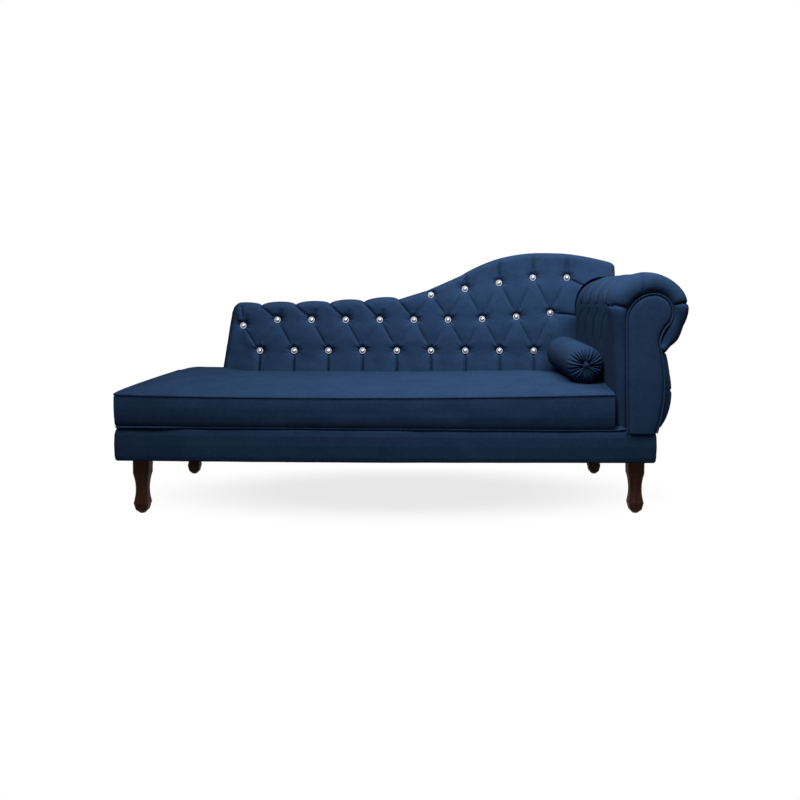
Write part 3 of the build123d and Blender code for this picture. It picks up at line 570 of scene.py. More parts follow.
def suede(name, dark, middle, light):
    """Short-napped upholstery suede: mottled nap, fine fibres and a soft bloom at grazing angles."""
    material, start, output = new_material(name)
    place = object_place(start)
    patches = noise(start, place, 14.0, 3.0, 0.55)
    brushed = noise(start, place, 90.0, 4.0, 0.6)
    fibres = noise(start, place, 1400.0, 2.0, 0.6)
    tone = 0.35 * patches + 0.35 * brushed + 0.30 * fibres
    colour = colour_ramp(start, tone, [(0.30, dark), (0.50, middle), (0.70, light)])
    rough = 0.74 + 0.16 * brushed
    height = 0.7 * fibres + 0.3 * brushed
    sockets = {
        "Base Color": colour,
        "Roughness": rough,
        "Specular IOR Level": 0.0,
        "Sheen Weight": 0.02,
        "Sheen Roughness": 0.45,
        "Sheen Tint": (0.62, 0.82, 1.0, 1.0),
        "Normal": bump(start, height, 0.16, 0.0006),
    }
    surface(start, output, sockets)
    return material


def stained_wood(name, dark, light, grain_axis, gloss):
    """Wood with long grain, fine pores and a satin stain."""
    material, start, output = new_material(name)
    place = object_place(start)
    stretch = [9.0, 9.0, 9.0]
    stretch[grain_axis] = 1.0
    long_way = start.add("ShaderNodeMapping", {}, {"Vector": place, "Scale": tuple(stretch)})
    rings = noise(start, long_way, 16.0, 5.0, 0.62)
    pores = noise(start, long_way, 150.0, 3.0, 0.7)
    tone = 0.7 * rings + 0.3 * pores
    colour = colour_ramp(start, tone, [(0.36, dark), (0.64, light)])
    rough = gloss + 0.18 * pores
    relief = bump(start, pores, 0.10, 0.0004)
    sockets = {"Base Color": colour, "Roughness": rough, "Specular IOR Level": 0.08, "Normal": relief}
    surface(start, output, sockets)
    return material


def plain_stuff(name, dark, light, scale, depth):
    """A matt material with a grain, for webbing and lining."""
    material, start, output = new_material(name)
    place = object_place(start)
    grain = noise(start, place, scale, 4.0, 0.6)
    colour = colour_ramp(start, grain, [(0.35, dark), (0.65, light)])
    relief = bump(start, grain, 0.3, depth)
    sockets = {"Base Color": colour, "Roughness": 0.75 + 0.2 * grain, "Normal": relief}
    surface(start, output, sockets)
    return material


def bright_metal(name, dark, light, rough):
    """Plated steel with faint brushing."""
    material, start, output = new_material(name)
    place = object_place(start)
    brushing = noise(start, place, 700.0, 3.0, 0.6)
    colour = colour_ramp(start, brushing, [(0.3, dark), (0.7, light)])
    surface(start, output, {"Base Color": colour, "Metallic": 1.0, "Roughness": rough + 0.12 * brushing})
    return material


def cut_stone(name):
    """Foil-backed cut crystal: bright mirror-like facets under a clear coat."""
    material, start, output = new_material(name)
    place = object_place(start)
    sparkle = noise(start, place, 260.0, 1.0, 0.5)
    colour = colour_ramp(start, sparkle, [(0.35, (0.50, 0.60, 0.76)), (0.65, (0.88, 0.94, 1.0))])
    sockets = {
        "Base Color": colour,
        "Metallic": 0.75,
        "Roughness": 0.06 + 0.10 * sparkle,
        "Coat Weight": 1.0,
        "Coat Roughness": 0.02,
    }
    surface(start, output, sockets)
    return material


suede_navy = suede("suede_navy", navy_deep, navy, navy_bright)
leg_stain = stained_wood("leg_stain", (0.030, 0.0115, 0.0065), (0.094, 0.0370, 0.0215), 2, 0.50)
frame_timber = stained_wood("frame_timber", (0.42, 0.27, 0.14), (0.62, 0.43, 0.25), 0, 0.55)
ply_board = stained_wood("ply_board", (0.46, 0.32, 0.18), (0.66, 0.50, 0.31), 0, 0.6)
bottom_lining = plain_stuff("bottom_lining", (0.012, 0.012, 0.013), (0.030, 0.030, 0.032), 900.0, 0.0004)
strap_webbing = plain_stuff("strap_webbing", (0.20, 0.15, 0.09), (0.34, 0.27, 0.17), 600.0, 0.0006)
plated_steel = bright_metal("plated_steel", (0.42, 0.43, 0.45), (0.66, 0.67, 0.69), 0.24)
crystal = cut_stone("crystal")


def dress(piece, material):
    """Gives a piece its one material, in a single slot."""
    piece.data.materials.clear()
    piece.data.materials.append(material)


def upholster(piece, angle=50):
    """Smooth shading and the navy suede."""
    smooth(piece, angle)
    dress(piece, suede_navy)


def dress_node(material, *nodes):
    """Gives CAD nodes a better material."""
    for node in nodes:
        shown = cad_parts[node].data
        shown.materials.clear()
        shown.materials.append(material)


# Where the crystals sit, read from their CAD node and sorted into the three rows of the back.


def clusters(node, reach):
    """Middles of the separate small solids in a node."""
    left = points_of(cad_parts[node])
    found = []
    while len(left):
        near = np.linalg.norm(left - left[0], axis=1) < reach
        found.append((left[near].min(0) + left[near].max(0)) / 2)
        left = left[~near]
    return found


def to_back(x, up, out):
    """A point on the back from its distance up the valley plane and out of it."""
    y = valley_y + up * math.sin(back_lean) - out * math.cos(back_lean)
    z = base_top + up * math.cos(back_lean) + out * math.sin(back_lean)
    return np.stack([x, y, z], axis=-1)


def up_back(z):
    """Distance up the valley plane of a height."""
    return (z - base_top) / math.cos(back_lean)


def up_valley(place):
    """Distance of a point up the valley plane."""
    return (place[2] - base_top) * math.cos(back_lean) + (place[1] - valley_y) * math.sin(back_lean)


stone_places = sorted(clusters("tuft_stones", 0.025), key=lambda p: p[0])
tufts = [(p[0], up_valley(p)) for p in stone_places]
bottom_row = [t for t in tufts if t[1] < 0.22]
upper = [t for t in tufts if t not in bottom_row]
top_row = [t for t in upper if abs((t[0] - bottom_row[0][0]) / tuft_pitch % 1 - 0.5) > 0.25]
middle_row = [t for t in upper if t not in top_row]


def smooth_top(x):
    """Height of the top edge of the back without its scallops."""
    line = ((back_left, back_low_z), *back_low_edge, back_ramp_end)
    low = on_line(line, x)
    climb = np.clip((back_peak[0] - x) / (back_peak[0] - back_ramp_end[0]), 0, None)
    arch = back_peak[1] - (back_peak[1] - back_ramp_end[1]) * climb**back_arch_power
    fall = np.clip((x - back_peak[0]) / (back_right - back_peak[0]), 0, None)
    high = np.where(x < back_peak[0], arch, back_peak[1] - back_right_drop * fall**2)
    blend = ease((x - back_ramp_end[0] + 0.012) / 0.024)
    return low * (1 - blend) + high * blend


scallop_dips = [m[0] - scallop_offset for m in middle_row[1:6]]


def scalloped_top(x):
    """Height of the top edge: soft scallops between the folds of the low part."""
    ends = [back_left + 0.010, *scallop_dips]
    rise = np.zeros_like(x)
    for first, last in zip(ends, ends[1:]):
        share = np.clip((x - first) / (last - first), 0, 1)
        rise = rise + scallop_rise * np.sqrt(4 * share * (1 - share))
    return smooth_top(x) + rise


def back_edge(x):
    """Height of the top edge with both corners rounded off."""
    left = np.clip(back_corner_radius - (x - back_left - back_left_lean), 0, back_corner_radius)
    right = np.clip(back_right_corner - (back_right - x), 0, back_right_corner)
    cut = back_corner_radius - np.sqrt(back_corner_radius**2 - left**2)
    cut = cut + back_right_corner - np.sqrt(back_right_corner**2 - right**2)
    return scalloped_top(x) - cut


def left_side(z):
    """X of the left side of the back at a height."""
    share = np.clip((z - back_seat_line) / (back_low_z - back_seat_line), 0, 1.2)
    return back_left + back_left_lean * share


def back_folds():
    """Folds of the back: start and end on the valley plane, levels, crease depths and crease width."""
    high = back_fold_level
    folds = []
    for i, button in enumerate(bottom_row):
        folds.append((middle_row[i], button, (0.0, high, 0.0), (0.0030, 0.0020, 0.0030), 0.0032))
        folds.append((middle_row[i + 1], button, (0.0, high + 0.0015, 0.0), (0.0, 0.0010, 0.0040), 0.0045))
        foot = (button[0] - 0.004, 0.06)
        folds.append((button, foot, (0.0, high - 0.004, high - 0.006), (0.0085, 0.0085, 0.0080), 0.0042))
        brow = (button[0], button[1] + 0.030)
        folds.append((button, brow, (0.0, 0.010, high), (0.0030, 0.0020, 0.0), 0.0060))
    for i, button in enumerate(middle_row[:6]):
        reach = scallop_offset if i else 0.004
        dip = button[0] - reach
        edge = up_back(float(smooth_top(np.array(dip)))) - 0.004
        middle = high - 0.001 if i else high + 0.002
        folds.append((button, (dip, edge), (0.0, middle, high - 0.004), (0.0035, 0.0025, 0.0030), 0.0034))
    for i, button in enumerate(middle_row):
        side = 0.016 if i < 6 else 0.004
        brow = (button[0] + side, button[1] + 0.036)
        folds.append((button, brow, (0.0, 0.011, high + 0.002), (0.004, 0.002, 0.0), 0.0065))
    for i, button in enumerate(top_row):
        folds.append((button, middle_row[i + 5], (0.0, high + 0.0020, 0.0), (0.0, 0.0008, 0.0040), 0.0050))
        if i + 6 < len(middle_row):
            folds.append((button, middle_row[i + 6], (0.0, high, 0.0), (0.0030, 0.0022, 0.0030), 0.0032))
        edge = (button[0], up_back(float(smooth_top(np.array(button[0])))) + 0.01)
        folds.append((button, edge, (0.0, 0.012, high + 0.002), (0.0060, 0.0040, 0.0010), 0.0060))
    right = middle_row[9]
    folds.append((right, (0.630, up_back(0.552)), (0.0, high, high), (0.0045, 0.0035, 0.0040), 0.0036))
    folds.append((top_row[4], (0.655, up_back(0.640)), (0.0, high, high), (0.0040, 0.0030, 0.0040), 0.0036))
    return folds


def behind_arm(x, z):
    """How far a point of the back lies inside the outline of the padded arm."""
    in_roll = roll_radius + 0.002 - np.hypot(x - roll_x, z - roll_z)
    below = np.where((z < roll_z) & (x < 0.79), x - arm_inner + 0.004, -1.0)
    return np.maximum(in_roll, below)


def back_height(x, up):
    """How far the padding of the back stands out from the valley plane."""
    buttons = bottom_row + middle_row + top_row
    folds = back_folds()
    moved = [((f[0][0] - field_left, f[0][1]), (f[1][0] - field_left, f[1][1]), *f[2:]) for f in folds]
    spots = [(b[0] - field_left, b[1]) for b in buttons]
    full, level = padding(field_width, field_height, field_step, moved, spots, back_cell)
    puff = stuffed(look_up(full, field_step, x - field_left, up))
    out = look_up(level, field_step, x - field_left, up) + back_padding * puff
    out = out - 0.0012 - creases(x, up, folds)
    for spot in buttons:
        away = np.hypot(x - spot[0], up - spot[1])
        turn = np.arctan2(up - spot[1], x - spot[0])
        pull = np.exp(-(((away - pull_radius) / pull_width) ** 2))
        out = out + pull_height * pull * np.sin(pulls_round_button * turn + 40 * spot[0])
        beside_brow = ((x - spot[0]) / brow_half_width) ** 2
        over_brow = ((up - spot[1] - brow_up) / brow_half_height) ** 2
        out = out + brow_rise * np.exp(-beside_brow - over_brow)
    return out + back_ripple * ripple(x / 0.05, up / 0.05, 7, 3) * puff


def back_pad():
    """The tufted front of the back, wrapped over its edge and closed at the rear."""
    piece, a, b = cloth_sheet("back_pad", back_columns, back_rows)
    x = back_left + back_left_lean + (back_right - back_left - back_left_lean) * a
    for _ in range(4):
        z = back_foot + (back_edge(x) - back_foot) * b
        left = left_side(z)
        x = left + (back_right - left) * a
    side = x - left
    above = (back_edge(x) - z) * 0.97
    radius = back_corner_radius
    corner = (side < radius) & (above + side < 2 * radius) & (above < radius)
    round_off = radius - np.hypot(radius - side, radius - above)
    near = np.where(corner, np.maximum(round_off, np.minimum(side, above) * 0.3), np.minimum(side, above))
    near = np.minimum(near, back_right - x)
    near = np.clip(near, 0, back_edge_roll)
    drop = back_edge_roll - np.sqrt(back_edge_roll**2 - (back_edge_roll - near) ** 2)
    up = up_back(z)
    out = back_height(x, up) - 1.25 * drop
    sunk = ease(behind_arm(x, z) / 0.004)
    out = out * (1 - sunk) + np.minimum(out, -0.003) * sunk
    set_points(piece, to_back(x, up, out))
    rim_wall(piece, (0, 0.03, 0))
    points = points_of(piece)
    rim = points[len(a):]
    rim[:, 1] = back_rear
    rim[:, 2] -= back_rear_drop * ease((rim[:, 2] - back_seat_line) / 0.15)
    set_points(piece, points)
    close_ends(piece)
    upholster(piece)
    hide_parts("back_tufted_cover", "back_foam")
    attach(piece, "frame")
    return piece


def back_rear_panel():
    """The plain panel at the rear of the back, drawn in a little at its edge."""
    piece, a, b = cloth_sheet("back_rear_panel", 200, 70)
    x = back_left + back_left_lean + (back_right - back_left - back_left_lean) * a
    for _ in range(4):
        z = back_foot + (back_edge(x) - back_rear_drop - 2 * panel_inset - back_foot) * b
        left = left_side(z) + panel_inset
        x = left + (back_right - panel_inset - left) * a
    rim = np.minimum(np.minimum(a, 1 - a) * 1.33, np.minimum(b, 1 - b) * 0.45)
    y = back_rear + 0.0005 + panel_swell * np.clip(rim / 0.012, 0, 1) ** 0.5
    y = y + back_panel_ripple * ripple(x / 0.3, z / 0.3, 6, 8) * np.clip(rim / 0.05, 0, 1)
    set_points(piece, np.stack([x, y, z], axis=-1))
    rim_wall(piece, (0, -0.0004, 0))
    close_ends(piece)
    upholster(piece)
    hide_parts("back_rear_cover")
    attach(piece, "frame")
    return piece


def fascia_outline(pitch=0.005):
    """Even points round the front panel of the arm, from its foot up the left side and over."""
    foot = fascia_foot
    points = [(fascia_left, foot)]
    for angle in np.linspace(180, fascia_meet_angle, 20):
        points.append(on_circle(fascia_shoulder, fascia_shoulder_radius, angle))
    for angle in np.linspace(fascia_meet_angle, fascia_low_angle - 22, 40)[1:]:
        points.append(on_circle(fascia_head, fascia_head_radius, angle))
    start = np.array(points[-1])
    waist = np.array((fascia_waist[0] + 0.003, fascia_waist[1] - 0.004))
    bulge = np.array(fascia_bulge)
    end = np.array((arm_outer + 0.002, foot))
    for share in np.linspace(0, 1, 24)[1:]:
        sway = np.array((-0.006, 0.0)) * math.sin(math.pi * share)
        points.append(tuple(start + (waist - start) * share + sway))
    for share in np.linspace(0, 1, 40)[1:]:
        bow = 4 * share * (1 - share)
        middle = waist + (end - waist) * share
        points.append((middle[0] + (bulge[0] - (waist[0] + end[0]) / 2) * bow, middle[1]))
    points = np.array(points)
    steps = np.r_[0, np.cumsum(np.linalg.norm(np.diff(points, axis=0), axis=1))]
    even = np.linspace(0, steps[-1], int(steps[-1] / pitch))
    return np.stack([np.interp(even, steps, points[:, i]) for i in (0, 1)], axis=-1)


def on_circle(middle, radius, angle):
    """A point on a circle at an angle in degrees."""
    turn = math.radians(angle)
    return (middle[0] + radius * math.cos(turn), middle[1] + radius * math.sin(turn))


roll_touch = on_circle((roll_x, roll_z), roll_radius, roll_start_angle)
inner_length = math.hypot(roll_touch[0] - arm_inner, roll_touch[1] - base_top)
roll_length = roll_radius * math.radians(roll_start_angle - roll_end_angle)
roll_leave = on_circle((roll_x, roll_z), roll_radius, roll_end_angle)
slope_length = math.hypot(neck[0] - roll_leave[0], neck[1] - roll_leave[1])
visible_length = inner_length + roll_length + slope_length


def along_line(start, end, share):
    """Points between two points."""
    return np.stack([start[i] + (end[i] - start[i]) * share for i in (0, 1)], axis=-1)


def along_arc(middle, radius, first, last, share):
    """Points along an arc given by its angles in degrees."""
    turn = np.radians(first + (last - first) * share)
    return np.stack([middle[0] + radius * np.cos(turn), middle[1] + radius * np.sin(turn)], axis=-1)


def arm_section(run):
    """Points of the arm's section and of the front panel's edge beside it, by distance along the cover."""
    stops = [
        0,
        inner_length,
        row_run(fascia_meet_angle),
        inner_length + roll_length,
        visible_length,
        *[visible_length + step for step in arm_hidden_steps],
    ]
    middle = (roll_x, roll_z)
    tuck = (arm_outer, neck_inner_z)
    foot = (arm_outer, arm_foot)
    back_foot = (arm_inner, arm_foot)
    head_low = on_circle(fascia_head, fascia_head_radius, fascia_low_angle)
    shoulder = (fascia_left, fascia_shoulder[1])
    outer = np.zeros((len(run), 2))
    panel = np.zeros((len(run), 2))
    for part in range(len(stops) - 1):
        here = (run >= stops[part]) & (run <= stops[part + 1] + 1e-9)
        share = (run[here] - stops[part]) / (stops[part + 1] - stops[part])
        if part == 0:
            outer[here] = along_line(back_foot, roll_touch, share)
            panel[here] = along_line((fascia_left, arm_foot), shoulder, share)
        elif part == 1:
            outer[here] = along_arc(middle, roll_radius, roll_start_angle, fascia_meet_angle, share)
            panel[here] = along_arc(fascia_shoulder, fascia_shoulder_radius, 180, fascia_meet_angle, share)
        elif part == 2:
            meet, low = fascia_meet_angle, fascia_low_angle
            outer[here] = along_arc(middle, roll_radius, meet, roll_end_angle, share)
            panel[here] = along_arc(fascia_head, fascia_head_radius, meet, low, share)
        elif part == 3:
            outer[here] = along_line(roll_leave, neck, share) + slope_bow(share)
            panel[here] = along_line(head_low, fascia_waist, share)
        else:
            path = [neck, tuck, foot, back_foot]
            outer[here] = along_line(path[part - 4], path[part - 3], share)
            begin = [fascia_waist, tuck, foot][part - 4]
            panel[here] = along_line(begin, path[part - 3], share)
    return outer, panel


def row_run(angle):
    """Distance along the cover of a row of buttons on the roll."""
    return inner_length + roll_radius * math.radians(roll_start_angle - angle)


def arm_folds():
    """Folds of the arm: as those of the back, with ends along the cover and back from the front panel."""
    high = arm_fold_level
    rows = [row_run(angle) for angle in (*arm_row_angles, arm_last_angle)]
    folds = []
    for y in arm_even:
        path = [(up, from_panel(y + back)) for up, back in arm_upright_fold] + [(rows[0], from_panel(y))]
        levels = (high, high - 0.001, high - 0.002, 0.0)
        for i, (start, end) in enumerate(zip(path, path[1:])):
            level = (levels[i], (levels[i] + levels[i + 1]) / 2, levels[i + 1])
            folds.append((start, end, level, (0.0085, 0.0085, 0.0085), 0.0050))
    for i, run in enumerate(rows):
        here = arm_even if i % 2 == 0 else arm_odd
        if i in arm_front_folds:
            edge, bend = arm_front_folds[i]
            knee = (run + bend, arm_knee_depth)
            level = high + 0.003
            folds.append(((run + edge, 0.0), knee, (level, level, level), (0.0028, 0.0034, 0.0026), 0.0028))
            button = (run, from_panel(here[0]))
            folds.append((knee, button, (level, level, 0.0), (0.0026, 0.0036, 0.0055), 0.0030))
        if i + 1 == len(rows):
            continue
        for y in arm_odd:
            for other in (y - arm_tuft_pitch / 2, y + arm_tuft_pitch / 2):
                ends = (other, y) if i % 2 == 0 else (y, other)
                start = (run, from_panel(ends[0]))
                end = (rows[i + 1], from_panel(ends[1]))
                folds.append((start, end, (0.0, high, 0.0), (0.004, 0.0025, 0.004), 0.0038))
    draw = np.random.default_rng(12)
    for y in np.linspace(arm_even[0] + 0.03, arm_even[-1] + 0.03, arm_wrinkles):
        start = (draw.uniform(0.10, 0.17), from_panel(y + draw.uniform(-0.012, 0.012)))
        end = (draw.uniform(0.30, 0.36), start[1] + draw.uniform(-0.010, 0.010))
        folds.append((start, end, (np.inf, np.inf, np.inf), (0.0, 0.0034, 0.0), 0.0042))
    return folds


def from_panel(y):
    """Distance along the cover from the front panel's edge to a depth on the arm."""
    return cap_length + y - arm_ring_back


def back_plane_y(z):
    """Y of the valley plane at a height."""
    return valley_y + (z - base_top) * math.tan(back_lean)


def arm_run(a):
    """Distance along the cover at a share of its sheet, with wider squares where it is hidden."""
    column = a * arm_columns
    hidden_columns = arm_columns - arm_shown_columns
    hidden = visible_length + arm_hidden_steps[-1] * (column - arm_shown_columns) / hidden_columns
    return np.where(column <= arm_shown_columns, visible_length * column / arm_shown_columns, hidden)


def arm_pad():
    """The tufted arm: inner face, roll and neck, rounded over on to the front panel and closed."""
    piece, a, b = cloth_sheet("arm_pad", arm_columns, arm_rows)
    run = arm_run(a)
    hidden_length = arm_hidden_steps[-1]
    outer, panel = arm_section(run)
    turn = np.radians(arm_ring_start + (90 - arm_ring_start) * np.clip(b / cap_share, 0, 1))
    lowest = math.sin(math.radians(arm_ring_start))
    reach = (np.sin(turn) - lowest) / (1 - lowest)
    place = panel + (outer - panel) * reach[:, None]
    straight = np.clip((b - cap_share) / (1 - cap_share), 0, 1)
    rear = back_plane_y(outer[:, 1]) - 0.002
    hidden = ease(np.minimum(run - visible_length, visible_length + hidden_length - run) / 0.02)
    y = arm_ring_back - arm_ring_depth * np.cos(turn) * (1 - hidden) + (rear - arm_ring_back) * straight
    back = np.where(b < cap_share, cap_length * b / cap_share, cap_length + y - arm_ring_back)
    folds = arm_folds()
    spots = [(run_at, from_panel(depth)) for run_at, depth in arm_spots()]
    full, level = padding(visible_length, arm_field_depth, field_step, folds, spots, arm_cell)
    puff = stuffed(look_up(full, field_step, run, back))
    out = look_up(level, field_step, run, back) + arm_padding * puff - creases(run, back, folds)
    shown = ease((visible_length + 0.002 - run) / 0.03) * ease(run / 0.01)
    rim = ease(back / 0.02)
    out = (out - arm_sunk) * shown * rim
    aside, sunk = flare(run, y)
    base = np.stack([place[:, 0] + aside * reach, y, place[:, 1] - sunk * reach], axis=-1)
    base = base.reshape(arm_rows + 1, arm_columns + 1, 3)
    way = np.cross(np.gradient(base, axis=1), np.gradient(base, axis=0))
    way = way / np.maximum(np.linalg.norm(way, axis=2, keepdims=True), 1e-9)
    set_points(piece, base.reshape(-1, 3) + way.reshape(-1, 3) * out[:, None])
    close_seam(piece)
    close_ends(piece)
    upholster(piece)
    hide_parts("arm_tufted_cover", "arm_foam")
    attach(piece, "frame")
    return piece


def slope_bow(share):
    """The outward bow of the slope between the roll and the neck."""
    way = np.subtract(neck, roll_leave) / slope_length
    return arm_slope_bow * np.outer(np.sin(math.pi * share), (-way[1], way[0]))


def flare(run, y):
    """How far the roll swings out and sinks near its front."""
    near = np.exp(-np.clip(y - arm_ring_back, 0, None) / arm_flare_run)
    shown = ease((run - row_run(170)) / 0.09)
    out = arm_flare * near * shown * (1 - ease((run - visible_length) / 0.025))
    return out, arm_droop * near * shown * (1 - ease((run - visible_length + 0.07) / 0.06))


def arm_spots():
    """Buttons of the arm as distance along the cover and depth."""
    found = []
    for i, angle in enumerate(arm_row_angles):
        found += [(row_run(angle), y) for y in (arm_even if i % 2 == 0 else arm_odd)]
    return found


def arm_outside_pad():
    """The plump pad on the outside of the arm, from the base up to the neck under the roll."""
    piece, a, b = cloth_sheet("arm_outside_pad", 110, 140)
    up = np.clip(a / pad_neck_share, 0, 1)
    tuck = np.clip((a - pad_neck_share) / (1 - pad_neck_share), 0, 1)
    z = arm_foot + (neck[1] - arm_foot) * up + (neck_inner_z - 0.002 - neck[1]) * tuck
    rear = back_plane_y(z) - 0.002
    y = pad_front + (rear - pad_front) * b**1.3
    near = np.exp(-(y - pad_front) / arm_flare_run)
    top = (neck[0] - arm_outer + arm_flare * near) * (1 - 0.97 * tuck)
    belly = (pad_bulge + arm_flare * near) * np.clip(4 * up * (1 - up), 0, 1) ** 0.62
    out = pad_foot * (1 - up) ** 2 + top * up**3 + belly * (1 - 0.45 * up**3) * (1 - tuck)
    round_end = np.sqrt(1 - (1 - np.clip((y - pad_front) / pad_end_round, 0, 1)) ** 2)
    crease = np.exp(-(((z - pad_crease_z) / pad_crease_width) ** 2))
    crease = crease * np.exp(-((y - pad_front) / pad_crease_run))
    out = out * (0.80 + 0.20 * round_end) - pad_crease_depth * crease
    out = out + arm_pad_ripple * ripple(y / 0.12, z / 0.12, 6, 21) * np.clip(4 * a * (1 - a), 0, 1)
    x = arm_outer + 0.0006 + np.maximum(out, 0)
    set_points(piece, np.stack([x, y, z], axis=-1))
    turn_over(piece)
    settle(piece, np.minimum(np.minimum(a, 1 - a), np.minimum(b, 1 - b)) < 0.004)
    rim_wall(piece, (-0.0004, 0, 0))
    points = points_of(piece)
    points[len(a):, 0] = arm_outer + 0.0003
    set_points(piece, points)
    close_ends(piece)
    upholster(piece)
    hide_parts("arm_outside_cover")
    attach(piece, "frame")
    return piece


def kick(z):
    """How far the front panel of the arm leans out over the base at a height."""
    return fascia_kick * (1 - ease((z - fascia_foot) / fascia_kick_run))


def arm_front_panel():
    """The upholstered front panel of the arm with a soft edge."""
    piece, a, b = cloth_sheet("arm_front_panel", 70, 150)
    outline = fascia_outline(0.002)
    top = int(outline[:, 1].argmax())
    z = fascia_foot + (outline[top, 1] - fascia_foot) * np.sin(b * math.pi / 2)
    left = np.interp(z, outline[:top + 1, 1], outline[:top + 1, 0])
    right = np.interp(z, outline[top:, 1][::-1], outline[top:, 0][::-1])
    x = left + (right - left) * (0.5 - 0.5 * np.cos(math.pi * a))
    inside = np.hypot(x[:, None] - outline[:, 0], z[:, None] - outline[:, 1]).min(1)
    swell = fascia_swell * (1 - np.exp(-np.clip(inside - welt_radius, 0, None) / fascia_edge))
    set_points(piece, np.stack([x, fascia_rear - 0.0045 - swell - kick(z), z], axis=-1))
    rim_wall(piece, (0, 0.0004, 0))
    points = points_of(piece)
    points[len(a):, 1] = fascia_rear
    set_points(piece, points)
    close_seam(piece)
    close_ends(piece)
    upholster(piece, 60)
    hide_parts("arm_fascia")
    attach(piece, "frame")
    return piece


def piping(name, path, radius, closed=False):
    """A fabric-covered cord along points."""
    curve = bpy.data.curves.new(name, "CURVE")
    curve.dimensions = "3D"
    curve.bevel_depth = radius
    curve.bevel_resolution = 4
    curve.use_fill_caps = True
    spline = curve.splines.new("POLY")
    spline.points.add(len(path) - 1)
    for point, place in zip(spline.points, path):
        point.co = (*place, 1.0)
    spline.use_cyclic_u = closed
    piece = bpy.data.objects.new(name, curve)
    bpy.context.scene.collection.objects.link(piece)
    take(piece)
    bpy.ops.object.convert(target="MESH")
    piece = named(name)
    upholster(piece, 60)
    return piece


def arm_panel_piping():
    """The piping round the front panel of the arm."""
    path = [(x, fascia_piping_y - float(kick(z)), z) for x, z in fascia_outline()]
    piece = piping("arm_panel_piping", path, welt_radius)
    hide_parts("arm_fascia_welt")
    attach(piece, "frame")


def seat_lift(x, y):
    """How far the crown has risen at a depth, from 0 at the edges to 1; fuller behind, beside the back."""
    across = np.clip((y - seat_front) / (seat_rear - seat_front), 0, 1)
    arch = np.clip(4 * across * (1 - across), 0, 1) ** 0.7
    full = np.sqrt(1 - np.clip(2 * across - 1, 0, 1) ** 7)
    open_end = 1 - ease((x - seat_open_end) / seat_open_run)
    return arch + np.where(across > 0.5, full - arch, 0) * open_end


def corner_cut(y):
    """How far the rounded rear corner of the seat draws its left side in."""
    over = np.clip(y - seat_rear + seat_rear_corner, 0, seat_rear_corner)
    return seat_rear_corner - np.sqrt(seat_rear_corner**2 - over**2)


def seat_left_share(x):
    """From 0 at the left end of the seat to 1 where its crown is full."""
    return 1 - (1 - np.clip((x - seat_left) / seat_left_run, 0, 1)) ** 1.6


def seat_edge_height(x, y):
    """Height of the sewn edge of the seat: it sags along the front and rises over the left end."""
    share = np.clip((x - seat_left) / (seat_right - seat_left), 0, 1)
    sag = seat_edge_sag * np.sin(math.pi * share) ** 0.8
    across = np.clip((y - seat_front) / (seat_rear - seat_front), 0, 1)
    return seat_edge + 0.003 - sag + seat_left_rise * across**0.5 * (1 - seat_left_share(x))


def seat_plan(a, b):
    """X and Y of the seat's top: lines of the sheet follow the notch, and the rear corner is rounded."""
    notch_column = round(seat_columns * (seat_notch_x - seat_left) / (seat_right - seat_left))
    notch_row = round(seat_rows * (seat_notch_y - seat_front) / (seat_rear - seat_front))
    x = np.interp(a * seat_columns, [0, notch_column, seat_columns], [seat_left, seat_notch_x, seat_right])
    y = np.interp(b * seat_rows, [0, notch_row, seat_rows], [seat_front, seat_notch_y, seat_rear])
    return x + corner_cut(y) * np.clip(1 - (x - seat_left) / seat_corner_fade, 0, 1), y


def seat_top(x, y):
    """Height of the crowned top of the seat."""
    lift = seat_lift(x, y)
    crown = seat_crown * seat_left_share(x)
    crown = crown - (seat_crown - seat_crown_right) * (1 - ease((seat_right - x) / seat_right_run))
    z = seat_edge_height(x, y) + crown * lift
    return z + seat_ripple * ripple(x / 0.16, y / 0.16, 8, 5) * np.clip(lift * 2, 0, 1)


def cut_away(piece, gone):
    """Deletes the vertices that a mask names."""
    edit(piece)
    done()
    for vertex, cut in zip(piece.data.vertices, gone):
        vertex.select = bool(cut)
    bpy.ops.object.mode_set(mode="EDIT")
    bpy.ops.mesh.delete(type="VERT")
    done()


def boxing_foot(x, y):
    """Height of the foot of the boxing, over the cord on the base."""
    behind = ease((y - seat_front) / (seat_rear - seat_front))
    foot = apron_top(x, y) + 0.0055 - 0.0030 * behind
    return foot + 0.0012 * cord_peek(x) * (1 - behind)


def boxing_ring(line, foot, share):
    """A ring of the boxing at a share of the way from the sewn edge down to its foot."""
    edge = seat_edge_height(line[:, 0], line[:, 1])
    pull = ripple(line[:, 0] / 0.14, line[:, 1] / 0.14 + share, 6, 31)
    out = boxing_swell(share) + boxing_ripple * pull * math.sin(math.pi * share)
    taper = seat_left_proud + seat_left_taper * (1 - share)
    line[:, 1] = np.where(line[:, 1] < seat_front + 0.001, seat_front - out, line[:, 1])
    left_edge = corner_cut(line[:, 1]) + seat_left + 0.001
    line[:, 0] = np.where(line[:, 0] < left_edge, line[:, 0] - taper, line[:, 0])
    behind = seat_rear + np.maximum(out, 0)
    line[:, 1] = np.where(line[:, 1] > seat_rear - 0.001, behind, line[:, 1])
    line[:, 2] = edge - (edge - foot) * share
    return line


